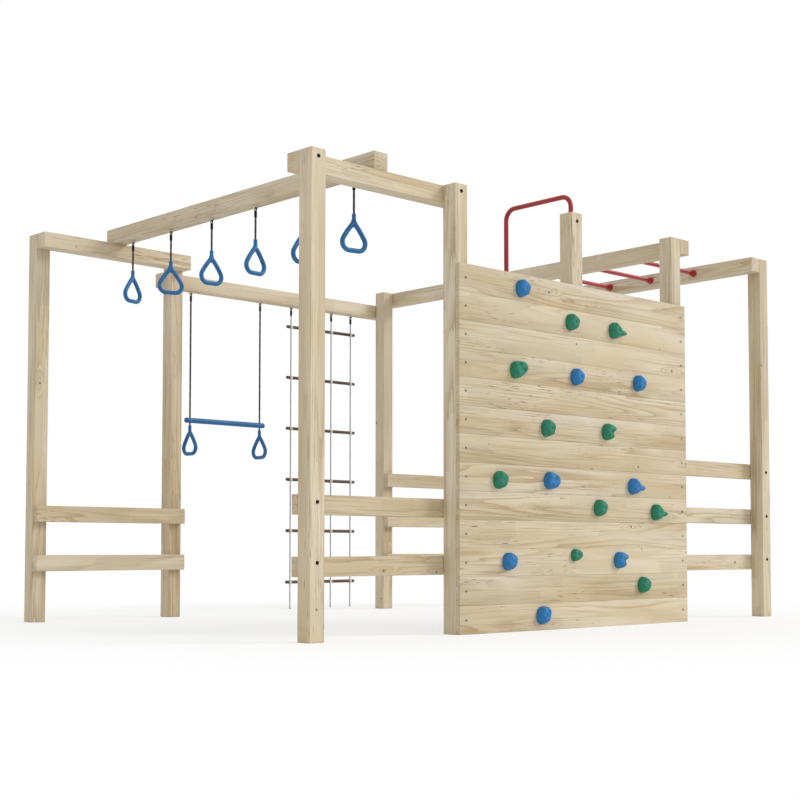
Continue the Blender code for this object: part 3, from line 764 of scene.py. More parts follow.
def arc(
    centre: tuple[float, float], radius: float, start: float, end: float, steps: int
) -> list[Point]:
    """Points of an arc.

    Args:
        centre: Its centre.
        radius: Its radius.
        start: The angle where it starts, in degrees.
        end: The angle where it ends.
        steps: How many pieces it has.

    Returns:
        The points, both ends among them.
    """
    angles = [math.radians(start + (end - start) * i / steps) for i in range(steps + 1)]
    return [(centre[0] + radius * math.cos(a), centre[1] + radius * math.sin(a)) for a in angles]


def lay_rope(
    form: Form, top: Vector, bottom_z: float, diameter: float, pitch: float, sides: int = 6
) -> None:
    """Adds a hanging rope of three strands laid round each other.

    Args:
        form: The mesh that it goes into.
        top: Its upper end.
        bottom_z: The height of its lower end.
        diameter: The rope's diameter.
        pitch: The height of one full turn of a strand.
        sides: How many facets a strand has round.
    """
    strand = diameter * 0.26
    lay = diameter / 2 - strand
    length = top.z - bottom_z
    steps = max(4, math.ceil(length / pitch * 10))
    for number in range(3):
        path = []
        for i in range(steps + 1):
            drop = length * i / steps
            turn = 2 * math.pi * (drop / pitch + number / 3)
            path.append(top + Vector((lay * math.cos(turn), lay * math.sin(turn), -drop)))
        form.sweep(path, strand, sides)


@dataclass
class Hanger:
    """The hook, eye and sleeve that a rope hangs by; sizes in metres."""

    wire: float = 0.006
    hook_width: float = 0.026
    hook_bend: float = 0.006
    hook_drop: float = 0.018
    plate_diameter: float = 0.016
    plate_thickness: float = 0.0018
    eye_opening: float = 0.012
    sleeve_diameter: float = 0.0160
    sleeve_length: float = 0.034
    clearance: float = 0.0003

    @property
    def eye_radius(self) -> float:
        """The radius of the eye's centre line."""
        return (self.eye_opening + self.wire) / 2

    @property
    def eye_drop(self) -> float:
        """How far the eye's centre lies below the hook's lowest wire."""
        return self.eye_opening / 2 - self.wire / 2 - self.clearance

    @property
    def sleeve_top(self) -> float:
        """How far the sleeve's top lies below the hook's lowest wire."""
        return self.eye_drop + self.eye_radius

    def add_hook(self, form: Form, x: float, y: float, beam_bottom: float) -> None:
        """Adds a hook under a beam, with a small plate where each leg enters the wood.

        Args:
            form: The mesh that it goes into.
            x: The hook's X.
            y: The hook's Y.
            beam_bottom: The height of the beam's underside.
        """
        half = (self.hook_width - self.wire) / 2
        bottom = beam_bottom - self.hook_drop
        left = [(-half, beam_bottom + self.wire)]
        left += arc((-half + self.hook_bend, bottom + self.hook_bend), self.hook_bend, 180, 270, 6)
        right = [(-u, v) for u, v in reversed(left)]
        form.sweep([Vector((x + u, y, v)) for u, v in left + right], self.wire / 2, 12)
        radius, thick = self.plate_diameter / 2, self.plate_thickness
        plate = [(0.0, thick), (radius, thick), (radius, thick * 0.4), (radius * 0.9, 0.0),
                 (0.0, 0.0)]
        for side in (-half, half):
            form.turned(plate, 20, upright(x + side, y, beam_bottom - thick))

    def add_eye(self, form: Form, pivot: Vector) -> None:
        """Adds the eye that hangs in the hook.

        Args:
            form: The mesh that it goes into.
            pivot: The lowest point of the hook's centre line.
        """
        centre = pivot - Vector((0.0, 0.0, self.eye_drop))
        path = [centre + Vector((0.0, u, v))
                for u, v in arc((0.0, 0.0), self.eye_radius, 0, 360, 24)[:-1]]
        form.sweep(path, self.wire / 2, 10, closed=True)

    def add_sleeve(self, form: Form, pivot: Vector) -> float:
        """Adds the sleeve below the eye, with two crimped grooves.

        Args:
            form: The mesh that it goes into.
            pivot: The lowest point of the hook's centre line.

        Returns:
            The height of the sleeve's lower end.
        """
        radius, length = self.sleeve_diameter / 2, self.sleeve_length
        waist = radius * 0.93
        heights = (
            (0.0, 0.0), (radius * 0.72, 0.0), (radius * 0.96, 0.04), (radius, 0.09),
            (radius, 0.26), (waist, 0.31), (waist, 0.36), (radius, 0.41), (radius, 0.62),
            (waist, 0.67), (waist, 0.72), (radius, 0.77), (radius, 0.93),
            (radius * 0.90, 1.0), (0.0, 1.0),
        )
        top = pivot.z - self.sleeve_top
        profile = [(r, -share * length) for r, share in heights]
        form.turned(profile, 24, upright(pivot.x, pivot.y, top))
        return top - length


@dataclass
class BoltHead:
    """A round bolt head with a socket, on a washer; sizes in metres."""

    washer_radius: float = 0.0095
    washer_thickness: float = 0.0015
    head_radius: float = 0.0076
    head_height: float = 0.0050
    socket_radius: float = 0.0042
    socket_depth: float = 0.0036

    def add(self, form: Form, place: Matrix) -> None:
        """Adds the bolt head.

        Args:
            form: The mesh that it goes into.
            place: Its seat, with its axis out of the wood.
        """
        base = self.washer_thickness
        top = base + self.head_height
        profile = [
            (0.0, top - self.socket_depth),
            (self.socket_radius * 0.9, top - self.socket_depth),
            (self.socket_radius, top - self.head_height * 0.10),
            (self.socket_radius * 1.12, top),
            (self.head_radius * 0.80, top - self.head_height * 0.14),
            (self.head_radius * 0.97, top - self.head_height * 0.50),
            (self.head_radius, base),
            (self.washer_radius * 0.97, base),
            (self.washer_radius, base * 0.6),
            (self.washer_radius, -0.001),
            (0.0, -0.001),
        ]
        form.turned(profile, 28, place)


@dataclass
class TimberFrame:
    """The posts, beams and rails, with their bolts; sizes in metres."""

    beam_side: float = 0.090
    ring_beam_bottom: float = 2.3003
    swing_beam_bottom: float = 2.120
    arris: float = 0.003
    front_bolts: dict[str, tuple[float, ...]] = field(default_factory=lambda: {
        "post_front_left": (2.262, 0.647, 0.367),
        "post_front_wall_left": (2.262,),
        "post_front_wall_middle": (2.253,),
        "post_front_right": (0.920, 0.640, 0.365),
    })
    rear_bolts: dict[str, tuple[float, ...]] = field(default_factory=lambda: {
        "post_rear_left": (2.262, 0.647, 0.367),
        "post_rear_right": (0.920, 0.640, 0.365),
    })
    bolt: BoltHead = field(default_factory=BoltHead)
    hanger: Hanger = field(default_factory=Hanger)

    def build(self) -> None:
        """Dresses the carried-over timbers and builds the hooked beams and the bolts."""
        for name, node in frame["nodes"].items():
            grain = self.grain_of(name)
            if grain is not None:
                for slot in node.material_slots:
                    slot.material = PINE[grain].build()
                LOG.info("timber %s: grain along %s", name, grain.name)
        self.build_hooked_beam("ring_beam", Grain.Y, self.ring_beam_bottom, "ring_")
        self.build_hooked_beam("swing_beam", Grain.X, self.swing_beam_bottom, "")
        self.build_bolts()

    @staticmethod
    def grain_of(name: str) -> Grain | None:
        """The grain of a carried-over timber.

        Args:
            name: The node's name.

        Returns:
            Its grain, or None for a node that a piece replaces.
        """
        if name.startswith("post_"):
            return Grain.Z
        if name.startswith("bar_beam_"):
            return Grain.Y
        if name.startswith(("tie_beam_", "rail_")):
            return Grain.X
        return None

    def build_hooked_beam(self, name: str, grain: Grain, bottom: float, kind: str) -> None:
        """Builds a beam without its hooks, and the hooks as steel.

        Args:
            name: The node that they replace.
            grain: The beam's grain.
            bottom: The height of its underside.
            kind: How the names of the bodies' joints on it start, or "" for the swing beam.
        """
        low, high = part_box(name)
        form = Form()
        form.block(Vector((low.x, low.y, bottom)), high, self.arris)
        add_piece(f"{name}_timber", form, PINE[grain], "frame", (name,))
        hooks = Form()
        for x, y in hook_places(kind):
            self.hanger.add_hook(hooks, x, y, bottom)
        add_piece(f"{name}_hooks", hooks, ZINC_STEEL, "frame", (name,))

    def build_bolts(self) -> None:
        """Builds the bolt heads on the posts' front and rear faces."""
        form = Form()
        for row, rear in ((self.front_bolts, False), (self.rear_bolts, True)):
            for post, heights in row.items():
                low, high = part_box(post)
                for height in heights:
                    y = high.y if rear else low.y
                    self.bolt.add(form, facing((low.x + high.x) / 2, y, height, rear))
        low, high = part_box("swing_beam")
        for post in ("post_rear_swing_left", "post_rear_swing_right"):
            side_low, side_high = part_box(post)
            middle = self.swing_beam_bottom + self.beam_side / 2
            self.bolt.add(form, facing((side_low.x + side_high.x) / 2, high.y, middle, True))
        add_piece("post_bolts", form, BLACK_STEEL, "frame")


def hook_places(kind: str) -> list[Point]:
    """The places of the hooks under a beam.

    Args:
        kind: "ring_" for the ring beam, or "" for the swing beam.

    Returns:
        The X and Y of each hook.
    """
    places = {name: joint["pos_m"] for name, joint in JOINTS.items()}
    if kind:
        return [(p[0], p[1]) for name, p in places.items() if name.startswith(kind)]
    y = places["trapeze_swing"][1]
    ropes = [places["grip_left_swing"][0], places["grip_right_swing"][0]]
    return [(x, y) for x in ropes + RopeLadder().rope_places()]


class HoldForm(Enum):
    """The seven forms of climbing hold on the wall."""

    DOME = "dome"
    NOSE = "nose"
    SMALL = "small"
    LOBE = "lobe"
    CHEEK = "cheek"
    LIP = "lip"
    NOTCH = "notch"


@dataclass(frozen=True)
class HoldShape:
    """What makes a hold's form: its size, its swelling, its facets and its pockets.

    A facet has the angle that it faces, its tilt from straight out, and its distance from the
    foot in metres. A pocket has its place right and up, its radius and its depth in metres.
    """

    share: float = 1.0
    stretch: float = 0.0
    bulge: float = 0.0
    aim: float = 0.0
    narrowness: int = 1
    facets: tuple[tuple[float, float, float], ...] = (
        (150, 48, 0.0465), (62, 38, 0.0470), (-20, 50, 0.0485), (268, 46, 0.0475),
        (212, 50, 0.0490),
    )
    pockets: tuple[tuple[float, float, float, float], ...] = ((0.012, 0.020, 0.012, 0.010),)


HOLD_SHAPES = {
    HoldForm.DOME: HoldShape(),
    HoldForm.NOSE: HoldShape(pockets=((0.026, 0.020, 0.012, 0.010),)),
    HoldForm.SMALL: HoldShape(
        share=0.72, stretch=0.45, pockets=((0.000, -0.006, 0.008, 0.004),),
        facets=((90, 30, 0.0340), (180, 50, 0.0350), (270, 45, 0.0345)),
    ),
    HoldForm.LOBE: HoldShape(
        stretch=0.10, bulge=0.45, aim=25, narrowness=4,
        facets=((200, 46, 0.048), (-60, 46, 0.048), (110, 40, 0.049)),
        pockets=((0.004, 0.028, 0.009, 0.015), (0.028, 0.000, 0.009, 0.013)),
    ),
    HoldForm.CHEEK: HoldShape(
        stretch=0.05, bulge=0.28, aim=20, narrowness=2, pockets=((0.022, 0.018, 0.011, 0.013),)
    ),
    HoldForm.LIP: HoldShape(
        stretch=0.05, bulge=0.30, aim=-17, narrowness=2,
        facets=((80, 44, 0.047), (170, 50, 0.049), (262, 44, 0.048)),
        pockets=((0.018, 0.012, 0.012, 0.015),),
    ),
    HoldForm.NOTCH: HoldShape(
        stretch=0.35, bulge=-0.45, aim=-11, narrowness=8,
        facets=((150, 46, 0.048), (240, 46, 0.048), (75, 40, 0.049)),
        pockets=((0.030, -0.006, 0.012, 0.017),),
    ),
}


@dataclass
class ClimbingHold:
    """One bolted climbing hold; sizes in metres."""

    form: HoldForm
    width: float = 0.092
    depth: float = 0.0455
    foot: float = 0.004
    triangle: float = 0.05
    slant: float = 0.04
    edge_fullness: float = 0.50
    dome_fullness: float = 0.60
    nose_reach: float = 0.084
    nose_thickness: float = 0.032
    nose_place: tuple[float, float, float] = (0.056, -0.018, -0.009)
    bolt_pocket: tuple[float, float, float, float] = (0.0, 0.0, 0.007, 0.009)
    facet_share: float = 0.8
    voxel: float = 0.0018
    lump: float = 0.0009
    lump_size: float = 0.011

    def mesh(self, name: str, spot: Vector) -> Mesh:
        """Forms the hold.

        Args:
            name: The mesh's name.
            spot: The middle of its foot, on the plank's face.

        Returns:
            The mesh, in place.
        """
        form = Form()
        for vert in form.ball(48, 32):
            vert.co = self.shaped(vert.co)
        if self.form is HoldForm.NOSE:
            half = Vector((self.nose_reach, self.nose_thickness, self.nose_thickness)) / 2
            middle = Vector(self.nose_place)
            for vert in form.ball(32, 20):
                taper = 1.0 - 0.15 * vert.co.x
                vert.co = middle + Vector((vert.co.x * half.x, vert.co.y * half.y * taper,
                                           vert.co.z * half.z * taper))
        made = fused(form.finished(name), self.voxel, 3)
        offset = spot * 31.0
        for vert in made.vertices:
            if vert.co.y < 0.0:
                bump = noise.noise(vert.co / self.lump_size + offset)
                vert.co -= vert.normal * self.lump * (0.5 + bump)
        made.transform(Matrix.Translation(spot))
        return made

    def shaped(self, point: Vector) -> Vector:
        """Moves a point of the ball to where it lies on the hold.

        Args:
            point: The point of the ball.

        Returns:
            Its place, with the foot's middle at the origin and the front towards -Y.
        """
        shape = HOLD_SHAPES[self.form]
        x, z, out = point
        angle = math.atan2(z, x)
        swell = 1.0 + self.triangle * math.cos(3 * angle) + self.slant * math.sin(2 * angle)
        if shape.bulge > 0 or out > 0:
            lean = max(0.0, math.cos(angle - math.radians(shape.aim)))
            swell += shape.bulge * lean**shape.narrowness
        side = shape.share * self.width / 2 * swell * math.hypot(x, z) ** self.edge_fullness
        rise = shape.share * self.depth * out**self.dome_fullness if out > 0 else self.foot * out
        right = side * math.cos(angle)
        if right > 0:
            right *= 1.0 + shape.stretch
        made = Vector((right, -rise, side * math.sin(angle)))
        if out <= 0:
            return made
        for aim, tilt, reach in shape.facets:
            a, t = math.radians(aim), math.radians(tilt)
            normal = Vector((math.cos(a) * math.sin(t), -math.cos(t), math.sin(a) * math.sin(t)))
            over = made.dot(normal) - reach
            if over > 0:
                made -= normal * over * self.facet_share
        for right, up, radius, depth in (*shape.pockets, self.bolt_pocket):
            away = math.hypot(made.x - right, made.z - up) / radius
            made.y += depth * math.exp(-away * away)
        return made


@dataclass
class ClimbingWall:
    """The planks, their screws and the holds; sizes in metres."""

    plank_count: int = 13
    face_y: float = -1.3738
    plank_thickness: float = 0.028
    plank_pitch: float = 0.145
    arris: float = 0.002
    screw_radius: float = 0.0060
    screw_proud: float = 0.0040
    bolt_seat: float = 0.031
    bolt: BoltHead = field(default_factory=lambda: BoltHead(0.0060, 0.0010, 0.0048, 0.0040,
                                                            0.0026, 0.0028))
    holds: tuple[tuple[int, float, float, HoldForm, MouldedSkin], ...] = (
        (12, 0.467, -0.005, HoldForm.DOME, BLUE_RESIN),
        (11, 0.870, 0.004, HoldForm.DOME, GREEN_RESIN),
        (11, 1.245, -0.003, HoldForm.NOSE, GREEN_RESIN),
        (9, 0.420, -0.007, HoldForm.LOBE, GREEN_RESIN),
        (9, 0.909, -0.004, HoldForm.DOME, BLUE_RESIN),
        (9, 1.464, 0.005, HoldForm.DOME, BLUE_RESIN),
        (7, 0.664, -0.010, HoldForm.DOME, GREEN_RESIN),
        (7, 1.177, -0.001, HoldForm.NOTCH, GREEN_RESIN),
        (5, 0.289, -0.010, HoldForm.DOME, GREEN_RESIN),
        (5, 0.684, 0.000, HoldForm.LIP, BLUE_RESIN),
        (5, 1.409, -0.010, HoldForm.NOSE, BLUE_RESIN),
        (4, 1.102, 0.006, HoldForm.DOME, GREEN_RESIN),
        (4, 1.621, -0.009, HoldForm.NOSE, GREEN_RESIN),
        (2, 0.357, 0.004, HoldForm.DOME, BLUE_RESIN),
        (2, 0.892, 0.036, HoldForm.SMALL, GREEN_RESIN),
        (2, 1.277, 0.006, HoldForm.NOTCH, BLUE_RESIN),
        (1, 1.493, 0.009, HoldForm.DOME, GREEN_RESIN),
        (0, 0.619, 0.007, HoldForm.CHEEK, BLUE_RESIN),
    )

    def build(self) -> None:
        """Builds the planks, the screws and the holds."""
        for row in range(self.plank_count):
            self.build_plank(row)
        self.build_screws()
        bolts = Form()
        for number, (row, along, above, kind, finish) in enumerate(self.holds, 1):
            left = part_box(self.node(row))[0].x
            spot = Vector((left + along, self.face_y, (row + 0.5) * self.plank_pitch + above))
            name = f"hold_{number:02d}"
            mesh = ClimbingHold(kind).mesh(name, spot)
            add_piece(name, mesh, finish, "frame", (self.node(row),))
            seat = self.bolt_seat * HOLD_SHAPES[kind].share
            self.bolt.add(bolts, facing(spot.x, spot.y - seat, spot.z))
        add_piece("hold_bolts", bolts, ZINC_STEEL, "frame")

    @staticmethod
    def node(row: int) -> str:
        """The name of a plank's node; row 0 is the lowest."""
        return f"wall_plank_{row + 1:02d}"

    def build_plank(self, row: int) -> None:
        """Builds one plank.

        Args:
            row: Its row from the ground.
        """
        low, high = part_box(self.node(row))
        form = Form()
        form.block(
            Vector((low.x, self.face_y, low.z)),
            Vector((high.x, self.face_y + self.plank_thickness, high.z)),
            self.arris,
        )
        name = f"plank_{row + 1:02d}"
        add_piece(name, form, PINE[Grain.X], "frame", (self.node(row),))

    def build_screws(self) -> None:
        """Builds the screw heads, one at each end of each plank, and a black disc as painted shade
        in each drive.
        """
        radius, proud = self.screw_radius, self.screw_proud
        profile = [
            (0.0, proud * 0.4), (radius * 0.42, proud * 0.4), (radius * 0.46, proud),
            (radius * 0.66, proud * 0.93), (radius * 0.86, proud * 0.72),
            (radius * 0.97, proud * 0.38), (radius, proud * 0.08), (radius, -0.001),
            (0.0, -0.001),
        ]
        # Painted shade: a black disc fills the bottom of each drive recess, where the recess would
        # lie in shade
        drive_shade_disc = [(0.0, proud * 0.5), (radius * 0.43, proud * 0.5), (radius * 0.43, 0.0),
                 (0.0, 0.0)]
        form, drive_shade_discs = Form(), Form()
        for post in ("post_front_wall_left", "post_front_wall_right"):
            low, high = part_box(post)
            for row in range(self.plank_count):
                height = (row + 0.5) * self.plank_pitch
                place = facing((low.x + high.x) / 2, self.face_y, height)
                form.turned(profile, 20, place)
                drive_shade_discs.turned(drive_shade_disc, 6, place)
        add_piece("wall_screws", form, GREY_STEEL, "frame")
        # The black drive discs are painted shade in the screw heads' recesses
        add_piece("wall_screw_drives", drive_shade_discs, BLACK_PVC, "frame")


@dataclass
class Grip:
    """A moulded hand grip, a drop with bowed sides and a neck at the top; sizes in metres.

    The bow is how far each side's ends turn from its middle, in degrees.
    """

    width: float = 0.159
    height: float = 0.1995
    tube: float = 0.0250
    corner: float = 0.040
    apex: float = 0.0125
    apex_depth: float = 0.050
    bow: float = 5.5
    neck_diameter: float = 0.0215
    neck_length: float = 0.028
    shoulder_depth: float = 0.0555
    web_depth: float = 0.069
    web_width: float = 0.050
    web_foot: float = 0.020
    web_thickness: float = 0.014
    voxel: float = 0.0019

    def outline(self) -> list[Point]:
        """The centre line of the grip's tube, in its own plane below the neck's top.

        Returns:
            The points right and up.
        """
        radius = self.tube / 2
        half = self.width / 2 - radius - self.corner
        base = -self.height + radius + self.corner
        apex = -self.apex_depth - self.apex
        spread = math.hypot(half, apex - base)
        lean = math.degrees(
            math.acos((self.apex - self.corner) / spread) - math.atan2(apex - base, half)
        )
        corner = arc((half, base), self.corner, -90, lean - self.bow, 16)
        top = arc((0.0, apex), self.apex, lean + self.bow, 90, 6)
        (low_u, low_v), (high_u, high_v) = corner[-1], top[0]
        bow = math.radians(self.bow)
        long = math.hypot(high_u - low_u, high_v - low_v) / 2 / math.sin(bow)
        turn = math.radians(lean)
        centre = ((low_u + high_u) / 2 - long * math.cos(bow) * math.cos(turn),
                  (low_v + high_v) / 2 - long * math.cos(bow) * math.sin(turn))
        side = arc(centre, long, lean - self.bow, lean + self.bow, 10)
        right = corner + side[1:-1] + top
        return right + [(-u, v) for u, v in reversed(right[:-1])]

    def mesh(self, name: str) -> Mesh:
        """Forms one grip below the origin.

        Args:
            name: The mesh's name.

        Returns:
            The mesh.
        """
        form = Form()
        form.sweep([Vector((u, 0.0, v)) for u, v in self.outline()], self.tube / 2, 24, True)
        neck, thick = self.neck_diameter / 2, self.web_thickness / 2
        start, shoulder = self.neck_length * 0.8, self.shoulder_depth
        flare, foot = self.web_width / 2, self.web_foot / 2
        steps = 8
        loft = []
        for i in range(steps + 1):
            share = i / steps
            loft.append((neck + (flare - neck) * share**1.4, neck + (thick - neck) * share,
                         start + (shoulder - start) * share))
        for i in range(1, steps + 1):
            share = i / steps
            loft.append((flare + (foot - flare) * share, thick,
                         shoulder + (self.web_depth - shoulder) * share))
        rings = []
        for wide, deep, drop in loft:
            rings.append([
                form.work.verts.new((wide * c, deep * s, -drop)) for c, s in circle(24)
            ])
        form.skin(rings)
        form.work.faces.new(list(reversed(rings[0])))
        form.work.faces.new(rings[-1])
        collar = neck + 0.0006
        form.turned(
            [(0.0, 0.0), (neck * 0.7, 0.0), (collar, -0.002), (collar, -0.006),
             (neck, -0.008), (neck, -self.neck_length - self.tube * 0.8),
             (0.0, -self.neck_length)],
            28, upright(0.0, 0.0, 0.0),
        )
        return fused(form.finished(name), self.voxel, 4)


@dataclass
class HangingRings:
    """The six hanging rings; sizes in metres and turns in degrees."""

    rope_diameter: float = 0.0125
    rope_pitch: float = 0.034
    neck_top: float = 2.1153
    rope_in_neck: float = 0.011
    turns: tuple[float, ...] = (-10, 4, 7, -2, -19, 17)
    grip: Grip = field(default_factory=Grip)
    hanger: Hanger = field(default_factory=Hanger)

    def build(self) -> None:
        """Builds each ring's eye, sleeve, rope and grip on its own body."""
        clay = self.grip.mesh("ring_grip")
        for number, turn in enumerate(self.turns, 1):
            joint = JOINTS[f"ring_{number}_swing"]
            pivot, body, node = Vector(joint["pos_m"]), joint["child"], f"ring_{number}"
            hang_rope(node, pivot, self.neck_top - self.rope_in_neck, body, (node,), self)
            mesh = clay.copy()
            place = Matrix.Translation((pivot.x, pivot.y, self.neck_top))
            mesh.transform(place @ Matrix.Rotation(math.radians(turn), 4, "Z"))
            add_piece(f"{node}_grip", mesh, BLUE_PLASTIC, body, (node,))


def hang_rope(
    name: str,
    pivot: Vector,
    bottom: float,
    body: str,
    nodes: tuple[str, ...],
    kit: Any,
) -> None:
    """Builds an eye, a sleeve and a dark rope under a hook.

    Args:
        name: How the pieces' names start.
        pivot: The lowest point of the hook's centre line.
        bottom: The height of the rope's lower end.
        body: The body that they ride on.
        nodes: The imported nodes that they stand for.
        kit: The sub-assembly, which has the hanger and the rope's sizes.
    """
    eye, sleeve, rope = Form(), Form(), Form()
    kit.hanger.add_eye(eye, pivot)
    sleeve_end = kit.hanger.add_sleeve(sleeve, pivot)
    start = Vector((pivot.x, pivot.y, sleeve_end + ROPE_IN_SLEEVE))
    lay_rope(rope, start, bottom, kit.rope_diameter, kit.rope_pitch)
    add_piece(f"{name}_eye", eye, BLACK_STEEL, body, nodes)
    add_piece(f"{name}_sleeve", sleeve, BLACK_PVC, body, nodes)
    add_piece(f"{name}_rope", rope, DARK_ROPE, body, nodes)


@dataclass
class Trapeze:
    """The trapeze bar, its two ropes and the two grips below it; sizes in metres."""

    bar_length: float = 0.650
    bar_diameter: float = 0.035
    rope_diameter: float = 0.0125
    rope_pitch: float = 0.034
    grip_gap: float = 0.015
    rope_in_neck: float = 0.011
    cap_length: float = 0.014
    grip: Grip = field(default_factory=Grip)
    hanger: Hanger = field(default_factory=Hanger)

    def build(self) -> None:
        """Builds the bar, the ropes and the grips."""
        swing = Vector(JOINTS["trapeze_swing"]["pos_m"])
        sides = {word: Vector(JOINTS[f"grip_{word}_swing"]["pos_m"]) for word in ("left", "right")}
        bar_z = sides["left"].z
        self.build_bar(Vector((swing.x, swing.y, bar_z)))
        clay = self.grip.mesh("trapeze_grip")
        for word, spot in sides.items():
            node = f"trapeze_rope_{word}"
            pivot = Vector((spot.x, spot.y, swing.z))
            hang_rope(node, pivot, bar_z, "trapeze", (node,), self)
            self.build_grip(word, spot, clay)

    def build_bar(self, middle: Vector) -> None:
        """Builds the bar, a tube with a round cap in each end.

        Args:
            middle: The bar's middle.
        """
        radius, half, cap = self.bar_diameter / 2, self.bar_length / 2, self.cap_length
        end = [(0.0, half), (radius * 0.35, half - 0.0004), (radius * 0.66, half - 0.0022),
               (radius * 0.90, half - 0.0060), (radius, half - 0.0105), (radius, half - cap),
               (radius * 0.955, half - cap - 0.0006), (radius * 0.955, half - cap - 0.0018),
               (radius, half - cap - 0.0024)]
        form = Form()
        form.turned(both_ends(end), 40, lengthwise(*middle))
        add_piece(
            "trapeze_bar_tube", form, BLUE_PLASTIC, "trapeze", ("trapeze_bar",)
        )

    def build_grip(self, word: str, spot: Vector, clay: Mesh) -> None:
        """Builds one grip with the short rope that it hangs by.

        Args:
            word: "left" or "right".
            spot: The place on the bar's axis that it hangs from.
            clay: The grip's mesh, below the origin.
        """
        node, body = f"trapeze_grip_{word}", f"grip_{word}"
        neck_top = spot.z - self.bar_diameter / 2 - self.grip_gap
        rope = Form()
        start = Vector((spot.x, spot.y, spot.z - self.bar_diameter / 2 + 0.004))
        lay_rope(rope, start, neck_top - self.rope_in_neck, self.rope_diameter, self.rope_pitch)
        add_piece(f"{node}_rope", rope, DARK_ROPE, body, (node,))
        mesh = clay.copy()
        place = Matrix.Translation((spot.x, spot.y, neck_top))
        mesh.transform(place @ Matrix.Rotation(math.pi / 2, 4, "Z"))
        add_piece(f"{node}_moulding", mesh, BLUE_PLASTIC, body, (node,))


@dataclass(frozen=True)
class LadderSection:
    """A section of the ladder: its node and body, and the heights that it runs between."""

    node: str
    body: str
    rungs: tuple[float, ...]
    top: float
    end: float
    hangs_in_hooks: bool
    ends_free: bool


@dataclass
class RopeLadder:
    """The rope ladder, in three sections that fold at a rung; sizes in metres."""

    rope_count: int = 4
    rope_spacing: float = 0.183
    rope_diameter: float = 0.010
    rope_pitch: float = 0.036
    centre_x: float = 0.397
    y: float = 1.3398
    rungs: tuple[float, ...] = (1.977, 1.622, 1.267, 0.912, 0.557, 0.202)
    rung_length: float = 0.626
    rung_diameter: float = 0.022
    rope_end: float = 0.018
    knot_width: float = 0.0235
    knot_reach: float = 0.0155
    knot_turns: float = 2.75
    knot_rope: float = 0.0043
    knot_steps: int = 42
    whipping_length: float = 0.012
    whipping_turns: int = 5
    hanger: Hanger = field(default_factory=Hanger)

    def rope_places(self) -> list[float]:
        """The X of each rope."""
        middle = (self.rope_count - 1) / 2
        return [self.centre_x + (i - middle) * self.rope_spacing for i in range(self.rope_count)]

    def build(self) -> None:
        """Builds the three sections, each on its own body."""
        folds = (JOINTS["ladder_swing"]["pos_m"][2], self.rungs[1], self.rungs[3], self.rope_end)
        for number, word in enumerate(("upper", "middle", "lower")):
            section = LadderSection(
                f"rope_ladder_{word}", f"ladder_{word}", self.rungs[2 * number : 2 * number + 2],
                folds[number], folds[number + 1], number == 0, number == 2,
            )
            self.build_rungs(section)
            self.build_knots(section)
            self.build_ropes(section)

    def build_rungs(self, section: LadderSection) -> None:
        """Builds a section's rungs, slightly swollen in the middle as turned dowels are.

        Args:
            section: The section.
        """
        radius, half = self.rung_diameter / 2, self.rung_length / 2
        end = [(0.0, half), (radius * 0.5, half - 0.0006), (radius * 0.82, half - 0.0024),
               (radius * 0.97, half - 0.0060), (radius * 0.99, half - 0.0120),
               (radius, half * 0.5)]
        form = Form()
        for height in section.rungs:
            form.turned(both_ends(end), 28, lengthwise(self.centre_x, self.y, height))
        node = section.node
        add_piece(f"{node}_rungs", form, RUNG_WOOD, section.body, (node,))

    def build_knots(self, section: LadderSection) -> None:
        """Builds a section's knots, each a few tight turns of rope round the rung.

        Args:
            section: The section.
        """
        form = Form()
        lay = self.knot_reach - self.knot_rope
        span = self.knot_width - 2 * self.knot_rope
        for height in section.rungs:
            for x in self.rope_places():
                path = []
                for i in range(self.knot_steps + 1):
                    share = i / self.knot_steps
                    turn = 2 * math.pi * (self.knot_turns * share + 0.25)
                    path.append(Vector((x + span * (share - 0.5), self.y + lay * math.cos(turn),
                                        height + lay * math.sin(turn))))
                form.sweep(path, self.knot_rope, 8)
        add_piece(f"{section.node}_knots", form, KNOT_ROPE, section.body, (section.node,))

    def build_ropes(self, section: LadderSection) -> None:
        """Builds a section's ropes, with sleeves and eyes at the top and whipped ends below.

        Args:
            section: The section.
        """
        eyes, sleeves, ropes = Form(), Form(), Form()
        for x in self.rope_places():
            start = section.top - self.rung_diameter / 2
            if section.hangs_in_hooks:
                pivot = Vector((x, self.y, section.top))
                self.hanger.add_eye(eyes, pivot)
                start = self.hanger.add_sleeve(sleeves, pivot) + ROPE_IN_SLEEVE
            top = Vector((x, self.y, start))
            lay_rope(ropes, top, section.end, self.rope_diameter, self.rope_pitch)
            if section.ends_free:
                self.add_whipping(ropes, x)
        node, body = section.node, section.body
        add_piece(f"{node}_ropes", ropes, PALE_ROPE, body, (node,))
        if section.hangs_in_hooks:
            add_piece(f"{node}_eyes", eyes, BLACK_STEEL, body, (node,))
            add_piece(f"{node}_sleeves", sleeves, BLACK_PVC, body, (node,))

    def add_whipping(self, form: Form, x: float) -> None:
        """Adds the twine that keeps a rope's end from opening.

        Args:
            form: The mesh that it goes into.
            x: The rope's X.
        """
        radius = self.rope_diameter / 2 + 0.0004
        band = self.whipping_length / self.whipping_turns
        profile = [(0.0, 0.0)]
        for turn in range(self.whipping_turns):
            low = turn * band
            profile += [(radius * 0.92, low), (radius, low + band * 0.3),
                        (radius, low + band * 0.7)]
        profile += [(radius * 0.92, self.whipping_length), (0.0, self.whipping_length)]
        form.turned(profile, 16, upright(x, self.y, self.rope_end))


